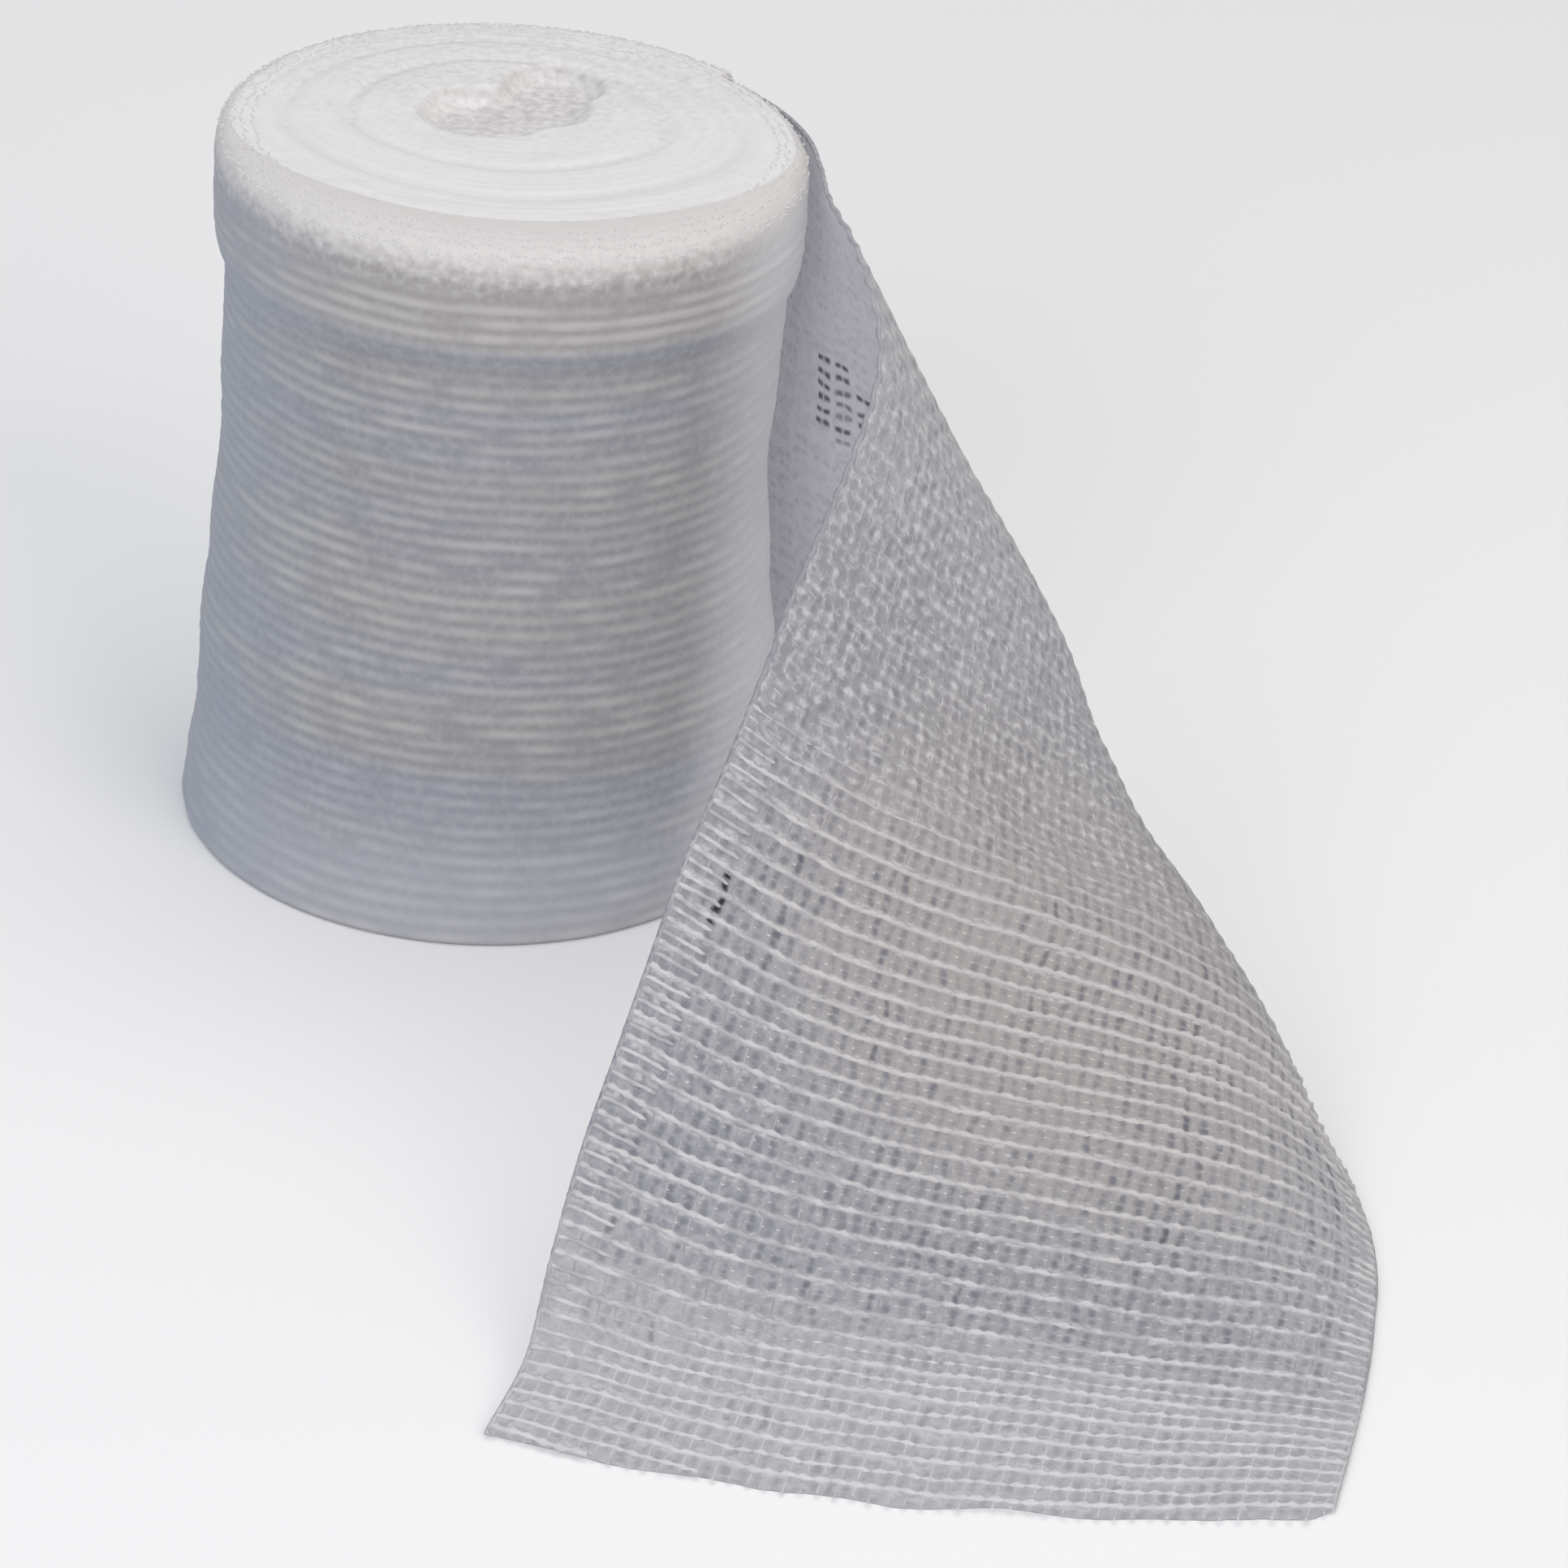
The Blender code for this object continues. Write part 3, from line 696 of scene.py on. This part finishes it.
def end_wave(across):
    """The uneven line of the cut, which rounds off the right corner."""
    corner = max(0.0, across - CORNER_FROM) / (1.0 - CORNER_FROM)
    return END_WAVE * wobble(across * 9.0, 5.0, 1.0) - CORNER_CUT * corner ** 2


def link_piece(name, mesh, material):
    """Make an object of a mesh, at the origin, with its finish."""
    mesh.materials.append(material)
    mesh.shade_smooth()
    return add_object(name, mesh)


def finish_piece(name, mesh, material):
    """Make an object of a bmesh, and free the bmesh."""
    data = bpy.data.meshes.new(name)
    mesh.to_mesh(data)
    mesh.free()
    return link_piece(name, data, material)


def make_plies():
    """The loose end's cloth, from where it lies on the roll to its cut end."""
    mesh = bmesh.new()
    bmesh.ops.create_grid(mesh, x_segments=PLY_ROWS, y_segments=PLY_COLUMNS, size=0.5)
    yarns = mesh.loops.layers.uv.new("yarns")
    flat = {vert: (vert.co.x + 0.5, vert.co.y + 0.5) for vert in mesh.verts}
    for face in mesh.faces:
        for loop in face.loops:
            lengthwise, across = flat[loop.vert]
            along = lengthwise * LOOSE_LENGTH - WRAPPED
            loop[yarns].uv = (across * WIDTH / PITCH, 0.5 * weft_count(along, across))
    for vert, (lengthwise, across) in flat.items():
        along = lengthwise * (LOOSE_LENGTH + end_wave(across)) - WRAPPED
        point = cloth_point(along, across, 0.0)
        point.z = max(point.z, 0.5 * PLIES_THICKNESS)
        vert.co = point * MM
    piece = finish_piece("loose_end_plies", mesh, outer_plies)
    piece.data.materials.append(inner_plies)
    solid = piece.modifiers.new("thickness", "SOLIDIFY")
    solid.thickness, solid.offset = PLIES_THICKNESS * MM, 0.0
    solid.material_offset = 1
    piece.visible_shadow = piece.visible_diffuse = False
    return piece


plies = make_plies()
print("plies:", len(plies.data.polygons), "faces on each side")

# %% [markdown]
# ## Threads
#
# The yarns that stand out of the cloth are what makes it gauze: ribs across it and finer lines
# along it. A bump pattern would look flat at the fold, where the ribs are seen from the side. So
# every thread is a curve with a round section whose radius changes from point to point, as a
# handspun line does. All threads of one kind share one curve object, which is turned to a mesh.

# %% Thread helper
def make_threads(name, paths, material, roundness=0):
    """Turn lists of (point, radius) to one mesh of thin tubes with closed ends."""
    curve = bpy.data.curves.new(name, "CURVE")
    curve.dimensions = "3D"
    curve.bevel_depth = MM
    curve.bevel_resolution = roundness
    curve.use_fill_caps = True
    for path in paths:
        spline = curve.splines.new("POLY")
        spline.points.add(len(path) - 1)
        for spot, (point, radius) in zip(spline.points, path):
            spot.co = (*(point * MM), 1.0)
            spot.radius = radius
    drawn = add_object(name + "_drawn", curve)
    bpy.context.view_layer.update()
    depsgraph = bpy.context.evaluated_depsgraph_get()
    mesh = bpy.data.meshes.new_from_object(drawn.evaluated_get(depsgraph))
    mesh.name = name
    bpy.data.objects.remove(drawn)
    mesh.materials.clear()
    triangles = sum(len(face.vertices) - 2 for face in mesh.polygons)
    print(name + ":", len(paths), "threads,", triangles, "triangles")
    return link_piece(name, mesh, material)


# %% [markdown]
# ## Weft ribs
#
# Every second weft yarn stands up as a bright rib, thickest where it passes over a warp. The yarns
# between them hide, except near the cut end and in the selvages, where all of them show. Where the
# cloth turns over, each rib passes over every second warp only, which breaks it into soft blobs.

# %% Weft ribs
RIB_STEP, THIN_STEP = 0.68, 1.02
RIB_RADIUS, THIN_RADIUS = 0.42, 0.16
RIB_LIFT, THIN_LIFT, BEAD_LIFT = 0.13, 0.08, 0.09
COARSE_THINNESS, COARSE_LIFT, BLOB_LIFT = 0.5, 0.03, 0.07
SLOW_DRIFT, QUICK_DRIFT, WARP_DRIFT = 0.35, 0.12, 0.28
SELVAGE_LINE = 0.003


def fluff(place, number):
    """A small unevenness of spun yarn, between -1 and 1."""
    return wobble(place / 0.9, number * 3.1, 7.0)


def lay(path, along, across, lift, radius):
    """Add a point to a thread's path, on the cloth and not below the surface it lies on."""
    point = cloth_point(along, across, lift)
    point.z = max(point.z, radius)
    path.append((point, radius))


def weft_strength(number, along, across):
    """1 where a weft yarn shows as a full rib, and near 0 where it hides between the plies."""
    if number % 2 == 0:
        return 1.0 - 0.2 * coarseness(along)
    left = ease(across, SELVAGE + 0.02, SELVAGE)
    edge = max(left, ease(across, 1.0 - SELVAGE, 1.02 - SELVAGE))
    fine = 0.9 * ease(along, FINE_FROM, FINE_TO)
    return max(fine, 0.8 * edge, 0.3 * coarseness(along))


def weft_path(number, step_length):
    """One weft yarn from selvage to selvage, on the outer side of the plies."""
    own = number * PITCH - WRAPPED
    steps = round(WIDTH / step_length)
    path = []
    for step in range(steps + 1):
        across = 0.004 + 0.992 * step / steps
        width = across * WIDTH
        along = own + weft_sag(own, across)
        along += SLOW_DRIFT * wobble(width / 5.0, number * 3.7, 0.0)
        along += QUICK_DRIFT * wobble(width / 1.3, number * 3.7, 5.0)
        if not -WRAPPED + 0.5 < along < SECTIONS[-1].along - 0.3 + end_wave(across):
            if path:
                break
            continue
        strength, coarse = weft_strength(number, along, across), coarseness(along)
        turn = pi * (width / PITCH - 0.5)
        bead, blob = cos(2.0 * turn), cos(turn + pi * (number // 2 % 2))
        radius = THIN_RADIUS + (RIB_RADIUS - THIN_RADIUS) * strength
        radius *= 1.0 + 0.28 * bead * (1.0 - coarse) + 0.25 * blob * coarse
        radius *= (1.0 + 0.28 * fluff(width, number)) * (1.0 - COARSE_THINNESS * coarse)
        lift = THIN_LIFT + (RIB_LIFT - THIN_LIFT) * strength + BEAD_LIFT * bead
        lift += (COARSE_LIFT + BLOB_LIFT * blob - lift) * coarse
        lay(path, along, across, lift, radius)
    return path


def weft_paths(first, step_length):
    """Every second weft yarn of the loose end, from the first number on."""
    numbers = range(first, round(LOOSE_LENGTH / PITCH) + 5, 2)
    paths = [weft_path(number, step_length) for number in numbers]
    return [path for path in paths if len(path) > 4]


ribs = make_threads("loose_end_ribs", weft_paths(2, RIB_STEP), rib_yarn, 1)
thin_wefts = make_threads("loose_end_thin_wefts", weft_paths(1, THIN_STEP), rib_yarn)

# %% [markdown]
# ## Warp yarns
#
# The warps run the whole length and end in a raw cut, a fraction of a millimetre past each other.
# They lie lower than the ribs, so little more than their backs shows. The inner side of the cloth
# was pressed flat against the turn below, so it has no standing threads, only its finish.

# %% Warp yarns
WARP_STEP = 1.5
WARP_RADIUS, HEAVY_WARP_RADIUS = 0.22, 0.28
WARP_LIFT = 0.08
FRAY = 0.5
fray = random.Random(7)


def warp_path(number):
    """One warp yarn, from the roll to just past the cut."""
    own = (number + 0.5) * PITCH
    end = SECTIONS[-1].along - 0.1 + end_wave(own / WIDTH) + FRAY * fray.random() ** 2
    start = 0.3 - WRAPPED
    steps = round((end - start) / WARP_STEP)
    thick = HEAVY_WARP_RADIUS if number % 2 else WARP_RADIUS
    path = []
    for step in range(steps + 1):
        along = start + (end - start) * step / steps
        across = (own + WARP_DRIFT * wobble(along / 9.0, number * 5.3, 4.0)) / WIDTH
        lift = WARP_LIFT - 0.05 * cos(pi * weft_count(along, across))
        radius = thick * (1.0 + 0.15 * fluff(along, number)) * (1.0 - 0.25 * coarseness(along))
        lay(path, along, across, lift, radius)
    return path


warps = make_threads("loose_end_warps", [warp_path(k) for k in range(WARPS)], warp_yarn)

# %% [markdown]
# ## Selvages
#
# Along both long edges a few warps lie close together and every weft turns round them, which makes
# a slightly thicker edge that doesn't fray. One knotted cord on each edge is enough to show it.

# %% Selvages
SELVAGE_RADIUS, SELVAGE_STEP = 0.34, 0.7


def selvage_path(across):
    """The corded edge of the cloth, knotted by every weft that turns round it."""
    length = LOOSE_LENGTH + end_wave(across)
    steps = round(length / SELVAGE_STEP)
    path = []
    for step in range(steps + 1):
        along = length * step / steps - WRAPPED
        knot = cos(tau * weft_count(along, across))
        radius = SELVAGE_RADIUS * (1.0 + 0.14 * knot + 0.15 * fluff(along, 77))
        lay(path, along, across, 0.0, radius)
    return path


selvage_lines = [selvage_path(across) for across in (SELVAGE_LINE, 1.0 - SELVAGE_LINE)]
selvages = make_threads("loose_end_selvages", selvage_lines, warp_yarn, 1)

# %% [markdown]
# ## The wound roll
#
# Wound tight, the same cloth looks closed: on the side the warps of the outer turn show as soft
# streaks that dip and rise every centimetre, and on top the selvages of all turns make one white
# face. A cylinder with a bump pattern would have a dead straight outline. So the body starts as a
# circle of edges that is extruded ring after ring, up the side, over the soft rim and in across the
# top, and each ring is moved on to the roll's shape with its streaks. An attribute keeps how high
# each point stands on its thread, and on top its painted shade and light, so that the finish can
# tell a thread from the gap beside it, paint shade on the top's rings and the eye's back wall, and
# paint light on the eye's bottom.

# %% Wound body shape
AROUND = 200
SIDE_RINGS, RIM_RINGS, TOP_RINGS = 234, 10, 96
TURNS = 26.0
STREAK_HEIGHT, RIDGE_HEIGHT = 0.20, 0.03
STREAK_LENGTH, DASH_LENGTH = 6.0, 2.5
THREADS_FROM, THREADS_TO = 1.0, 97.0
RIM_ROUGHNESS, TOP_ROUGHNESS, TOP_WAVES = 0.22, 0.20, 0.12
LIP_LOW, LIP_HIGH, WAIST_BAND, UPPER_BAND = 84.6, 90.2, 82.0, 94.0


def turn_angle(step):
    """The angle of a step of one clockwise turn, from the outer layer's end and back to it."""
    return LEAVING_ANGLE - tau * step / (AROUND - 1)


def streak(height, angle):
    """How high, from 0 to 1, a point of the side stands on the thread that passes there."""
    around = angle * SIDE[0].radius
    wave = 0.35 * wobble(around / 14.0, height / 9.0, 0.0)
    place = (height - THREADS_FROM + wave) / PITCH
    number = round(place)
    round_back = 0.5 + 0.5 * cos(tau * (place - number))
    rise = 0.55 + 0.75 * wobble(around / STREAK_LENGTH, number * 7.9, 9.0)
    lip = ease(height, LIP_LOW, LIP_LOW + 1.5) * ease(height, LIP_HIGH + 1.5, LIP_HIGH)
    broken = rise + 0.6 * wobble(around / DASH_LENGTH, number * 7.9, 3.0)
    quiet = 0.8 * bump(height, WAIST_BAND, 2.0) + 0.55 * bump(height, UPPER_BAND, 2.2)
    share = min(max(rise, 0.1), 1.0) * (1.0 - min(quiet, 1.0)) + 0.75 * lip * max(broken, 0.1)
    return round_back * share * ease(height, THREADS_TO, THREADS_TO - 2.0)


def body_heights():
    """Heights of the side's rings, closer on the rounded base and rim."""
    rim = WIDTH - RIM_DROP
    base = [BASE_ROUND * (1.0 - cos(0.5 * pi * k / 4)) for k in range(4)]
    side = [BASE_ROUND + (rim - BASE_ROUND) * k / SIDE_RINGS for k in range(SIDE_RINGS)]
    top = [rim + RIM_DROP * sin(0.5 * pi * k / RIM_RINGS) for k in range(RIM_RINGS + 1)]
    return base + side + top


def terry(point, height):
    """Small soft unevenness of the selvages at the rim and on top."""
    return height * noise.noise(point / 1.7)


def side_ring_point(height, step):
    """A point of the body's side or rim, and how high it stands on its thread."""
    angle = turn_angle(step)
    share = streak(height, angle)
    lift = STREAK_HEIGHT * (share - 0.6)
    point = roll_point(height, angle, 1.0 - step / (AROUND - 1), lift)
    rough = terry(point, RIM_ROUGHNESS * ease(height, 93.0, 97.0))
    return point + outward(angle, 0.6) * rough, min(share, 1.0)


def top_shade_and_tone(point, share, angle):
    """Near 1 on the top face with a random tone by turn, less for painted shade on rings and the
    eye's back wall, more for painted light on its bottom.
    """
    hollow = hollowness(point.x, point.y)
    wall = bump(hollow, 0.25, 0.20) * ease(point.y - EYE.y, -3.0, 3.0)
    rings = sum(bump(share, ring, RING_WIDTH) for ring in RINGS_AT)
    turns = wobble(share * TURNS, cos(angle), sin(angle))
    shade_and_tone = 0.85 - 0.70 * wall - 0.12 * rings + 0.25 * turns * (1.0 - hollow)
    return min(max(shade_and_tone, 0.0), 1.0) + 0.5 * hollow


def top_ring_point(share, step):
    """A point of the top face, with the edges of the turns as a spiral of low ridges."""
    angle = turn_angle(step)
    rim = roll_point(WIDTH, angle, 1.0 - step / (AROUND - 1)).to_2d()
    flat = EYE + (rim - EYE) * share
    ridge = cos(tau * ((1.0 - share) * TURNS - step / (AROUND - 1)))
    height = top_height(flat.x, flat.y, share) + RIDGE_HEIGHT * ridge * ease(share, 0.0, 0.25)
    point = Vector((flat.x, flat.y, height))
    rough = terry(point, TOP_ROUGHNESS * ease(share, 0.8, 1.0))
    point.z += rough + TOP_WAVES * noise.noise(point / 5.0)
    return point, top_shade_and_tone(point, share, angle)


# %% Wound body
def make_body(finish):
    """Extrude the roll's body ring by ring and close its base and its eye."""
    mesh = bmesh.new()
    steps = mesh.verts.layers.int.new("step")
    shares = mesh.verts.layers.float.new("thread_height_and_top_shade")
    bmesh.ops.create_circle(mesh, segments=AROUND, radius=1.0)
    for index, vert in enumerate(mesh.verts):
        vert[steps] = index

    def place(verts, ring_point, where):
        for vert in verts:
            point, vert[shares] = ring_point(where, vert[steps])
            vert.co = point * MM

    def extrude(edges):
        made = bmesh.ops.extrude_edge_only(mesh, edges=edges)["geom"]
        verts = [part for part in made if isinstance(part, bmesh.types.BMVert)]
        return verts, [part for part in made if isinstance(part, bmesh.types.BMEdge)
                       and part.is_boundary]

    rings = [(side_ring_point, height) for height in body_heights()]
    rings += [(top_ring_point, 1.0 - ring / TOP_RINGS) for ring in range(1, TOP_RINGS)]
    place(mesh.verts[:], *rings[0])
    base_edges = edges = mesh.edges[:]
    for ring in rings[1:]:
        verts, edges = extrude(edges)
        place(verts, *ring)
    eye = Vector((EYE.x, EYE.y, top_height(EYE.x, EYE.y, 0.0))) * MM
    bmesh.ops.pointmerge(mesh, verts=extrude(edges)[0], merge_co=eye)
    bmesh.ops.edgeloop_fill(mesh, edges=base_edges)
    bmesh.ops.recalc_face_normals(mesh, faces=mesh.faces[:])
    return finish_piece("wound_body", mesh, finish)


# %% [markdown]
# ## Wound gauze finish
#
# One cloth, two looks: the side is grey, because light sinks in between its open threads, and the
# top is nearly white, because there the cut of every turn stands on edge. The finish is chosen by
# height, with a ragged border, and the threads are picked out by the attribute of the body. Faint
# warm and cool bands lie round the side, so their noise is stretched: long round the roll, short
# upwards.

# %% Wound gauze finish
Tones = namedtuple("Tones", "cool warm foot lip")
# The foot tones are painted light bounced up from the floor.
GAP_TONES = Tones("#8A8D95", "#8E8E91", "#AEB0B6", "#999695")
THREAD_TONES = Tones("#A2A5AC", "#B2B0AC", "#BEBFC4", "#B3B0AE")
FLOOR_BOUNCE_LOW, FLOOR_BOUNCE_HIGH, LIP_FROM, LIP_TO, TOP_FROM, TOP_TO = 2.0, 26.0, 83.5, 86.0, 96.2, 102.4
LIT_FROM, LIT_TO, PAINTED_COOL_FROM, PAINTED_COOL_TO = 0.024, 0.038, -0.018, -0.042
SPECKLE, LIT, PAINTED_COOL_LIGHT, SHADED, EYE_PAINTED_LIGHT = "#B4B4B7", "#E4E5E9", "#A0AAB8", "#B9B3AE", "#F6F4F3"


def make_wound_finish():
    """Greyer open weave on the side, and dense white edges of the turns on top."""
    material, tree = start_finish("wound cotton gauze", COTTON)
    place = add(tree, "ShaderNodeTexCoord", output="Object")
    aside, away, up = [add(tree, SPLIT, {}, {0: place}, axis) for axis in range(3)]
    up = add(tree, MATH, {**TIMES, 1: 1.0 / MM}, {0: up})
    thread_and_top_shade = add(tree, "ShaderNodeAttribute", {"attribute_name": "thread_height_and_top_shade"}, {}, "Fac")
    grain = add(tree, NOISE, {"Scale": 1.0 / 0.0012, "Detail": 3.0}, {"Vector": place})
    stretched = add(tree, "ShaderNodeMapping", {"Scale": (5.0, 5.0, 75.0)}, {"Vector": place})
    bands = add(tree, NOISE, {"Scale": 1.0, "Detail": 1.0}, {"Vector": stretched})
    bands = add(tree, RANGE, {**SOFT, 1: 0.38, 2: 0.62}, {0: bands})

    # The foot is paler: painted light bounced up from the floor. The lip is warmer, with brighter
    # threads, over a smooth band.
    foot = add(tree, RANGE, {**SOFT, 1: FLOOR_BOUNCE_HIGH, 2: FLOOR_BOUNCE_LOW, 4: 0.55}, {0: up})
    lip = add(tree, RANGE, {**SOFT, 1: LIP_FROM, 2: LIP_TO}, {0: up})
    layers = []
    for tones in (GAP_TONES, THREAD_TONES):
        layer = add(tree, MIX, {**PAINT, 6: tones.cool, 7: tones.warm}, {0: bands}, 2)
        for share, paint in ((foot, tones.foot), (lip, tones.lip)):
            layer = add(tree, MIX, {**PAINT, 7: paint}, {0: share, 6: layer}, 2)
        layers.append(layer)
    side = add(tree, MIX, PAINT, {0: thread_and_top_shade, 6: layers[0], 7: layers[1]}, 2)

    # Beside the loose end a paler patch is painted on the roll, as light that comes through the
    # cloth.
    # Its other side gets a painted cool tint, as bluish reflected light.
    speckle = add(tree, RANGE, {**SOFT, 1: 0.40, 2: 0.70, 4: 0.25}, {0: grain})
    lit = add(tree, RANGE, {**SOFT, 1: LIT_FROM, 2: LIT_TO, 4: 0.78}, {0: aside})
    cool = add(tree, RANGE, {**SOFT, 1: PAINTED_COOL_FROM, 2: PAINTED_COOL_TO, 4: 0.5}, {0: aside})
    for share, paint in ((speckle, SPECKLE), (lit, LIT), (cool, PAINTED_COOL_LIGHT)):
        side = add(tree, MIX, {**PAINT, 7: paint}, {0: share, 6: side}, 2)

    # The white of the top comes down over the rim with a ragged border, further at the front.
    ragged = add(tree, MATH, {**SCALED, 1: 5.0}, {0: grain, 2: up})
    ragged = add(tree, MATH, {**SCALED, 1: -35.0}, {0: away, 2: ragged})
    on_top = add(tree, RANGE, {**SOFT, 1: TOP_FROM, 2: TOP_TO}, {0: ragged})
    top = add(tree, MIX, {**PAINT, 6: "#E0DFDE", 7: "#EAE9E8"}, {0: grain}, 2)
    # Painted shade darkens the top's rings and the eye's back wall, and painted light brightens the
    # eye's bottom.
    shaded = add(tree, RANGE, {2: 0.9, 3: 0.45, 4: 0.0}, {0: thread_and_top_shade})
    eye_painted_light = add(tree, RANGE, {**SOFT, 1: 1.0, 2: 1.3}, {0: thread_and_top_shade})
    for share, paint in ((shaded, SHADED), (eye_painted_light, EYE_PAINTED_LIGHT)):
        top = add(tree, MIX, {**PAINT, 7: paint}, {0: share, 6: top}, 2)
    colour = add(tree, MIX, PAINT, {0: on_top, 6: side, 7: top}, 2)
    smooth = add(tree, RANGE, {3: 1.0, 4: 0.3}, {0: on_top})
    height = add(tree, MATH, TIMES, {0: grain, 1: smooth})
    end_finish(tree, colour, height, 0.5)
    return material


body = make_body(make_wound_finish())
print("wound body:", sum(len(face.vertices) - 2 for face in body.data.polygons), "triangles")

# %% [markdown]
# ## Selvage loops
#
# Each weft yarn turns back in a tiny loop at the edge of the cloth. Wound up, thousands of them
# stand side by side and give the rim its terry look. Hair would give the same look, but it isn't
# kept when the model is exported. So each loop is an arch of five points, tallest at the front rim,
# where the edge has been handled. Further in the loops are pressed flat, so none are made there.
# A real loop is finer than this tube and hardly shades the next one, so these keep no light back.

# %% Selvage loops
LOOP_SPACING, LOOP_RADIUS, LOOPS_REACH = 0.95, 0.11, 4.5
LOOP_HEIGHT_BACK, LOOP_HEIGHT_FRONT = 0.16, 0.38
ARCH = ((-1.0, -0.25), (-0.8, 0.55), (0.0, 1.0), (0.8, 0.55), (1.0, -0.25))
loose = random.Random(11)


def rim_or_top(angle, inward, turned):
    """A point on the soft rim or the top face, so far in from the side."""
    reach = rim_reach(angle)
    if inward < reach:
        rise = sqrt(1.0 - (1.0 - inward / reach) ** 2)
        return roll_point(WIDTH - RIM_DROP * (1.0 - rise), angle, 1.0 - turned)
    rim = roll_point(WIDTH, angle, 1.0 - turned).to_2d()
    share = 1.0 - (inward - reach) / (rim - EYE).length
    flat = EYE + (rim - EYE) * share
    return Vector((flat.x, flat.y, top_height(flat.x, flat.y, share)))


def loop_path(inward, turned):
    """One arch on the edge of a turn."""
    angle = LEAVING_ANGLE - tau * turned
    foot = rim_or_top(angle, max(inward, 0.05), turned)
    tall = LOOP_HEIGHT_BACK + (LOOP_HEIGHT_FRONT - LOOP_HEIGHT_BACK) * ease(-sin(angle))
    tall *= (1.0 - 0.8 * ease(inward, 2.0, 6.5)) * loose.uniform(0.6, 1.3)
    yaw = angle + 0.5 * pi + loose.uniform(-0.7, 0.7)
    run = outward(yaw) * loose.uniform(0.30, 0.55)
    out = outward(angle) * max(0.0, 1.0 - inward / 6.0)
    up = (Vector((0.0, 0.0, 1.0)) + out).normalized() * tall
    return [(foot + run * across + up * rise, LOOP_RADIUS) for across, rise in ARCH]


def loop_paths():
    """The arches of every turn, from the rim towards the eye."""
    paths, inward = [], 0.15
    while inward < LOOPS_REACH:
        count = int(tau * (SIDE[-1].radius - inward) / LOOP_SPACING)
        for k in range(count):
            turned = (k + loose.uniform(-0.4, 0.4)) / count % 1.0
            own = inward + LAYER * turned + loose.uniform(-0.35, 0.35)
            paths.append(loop_path(own, turned))
        inward += LAYER
    return paths


loops = make_threads("wound_selvage_loops", loop_paths(), loop_yarn)
loops.visible_shadow = loops.visible_diffuse = False

# %% [markdown]
# ## What each piece stands for
#
# The pieces take the place of the two CAD solids and ride on the object's one body, as nothing on a
# bandage turns or slides.

# %% Bodies
loose_threads = [ribs, thin_wefts, warps, selvages]
for piece in [plies] + loose_threads:
    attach(piece, "root")
for piece in (body, loops):
    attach(piece, "root")
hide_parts("loose_end")
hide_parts("wound_roll")

# %% [markdown]
# ## Floor and light
#
# White cloth on a white floor needs light that comes from everywhere: any hard lamp would burn the
# top out and black out the fold. So half of the light is the even room. Two wide lamps beside the
# camera reach in between the roll and the loose end, a cooler one on the left and a warmer one on
# the right, and a third above lifts the top a little over the side.

# %% Floor
FLOOR_COLOUR, FLOOR_REACH = "#F6F6F6", 4.0


def make_floor():
    """A wide pale surface under the roll."""
    mesh = bmesh.new()
    bmesh.ops.create_grid(mesh, x_segments=1, y_segments=1, size=FLOOR_REACH)
    paper = start_finish("pale matt paper", {"Base Color": linear(FLOOR_COLOUR), "Roughness": 0.9})
    floor = finish_piece("floor", mesh, paper[0])
    return floor


print("floor:", make_floor().name)

# %% Lamps and room
Lamp = namedtuple("Lamp", "name place size power colour")
LAMPS = (
    Lamp("overhead", (0.10, 0.15, 1.30), 1.2, 5.5, "#FFFDFA"),
    Lamp("front_left", (-0.45, -1.15, 0.65), 0.7, 6.0, "#F1F5FF"),
    Lamp("front_right", (0.75, -1.0, 0.85), 0.9, 6.0, "#FFF5EC"),
)
ROOM_COLOUR, ROOM_STRENGTH = "#EFF1F6", 0.50
AIM = Vector((0.04, -0.05, 0.05))


def make_lamp(lamp):
    """A square soft lamp that faces the bandage."""
    data = bpy.data.lights.new(lamp.name, "AREA")
    data.size, data.energy, data.color = lamp.size, lamp.power, linear(lamp.colour)[:3]
    thing = add_object(lamp.name, data)
    thing.location = lamp.place
    thing.rotation_euler = (AIM - thing.location).to_track_quat("-Z", "Y").to_euler()


for lamp in LAMPS:
    make_lamp(lamp)
room = bpy.data.worlds.new("room")
room.use_nodes = True
light = room.node_tree.nodes["Background"]
light.inputs["Color"].default_value = linear(ROOM_COLOUR)
light.inputs["Strength"].default_value = ROOM_STRENGTH
bpy.context.scene.world = room
bpy.context.scene.view_settings.view_transform = "Standard"
print("lamps:", [lamp.name for lamp in LAMPS])
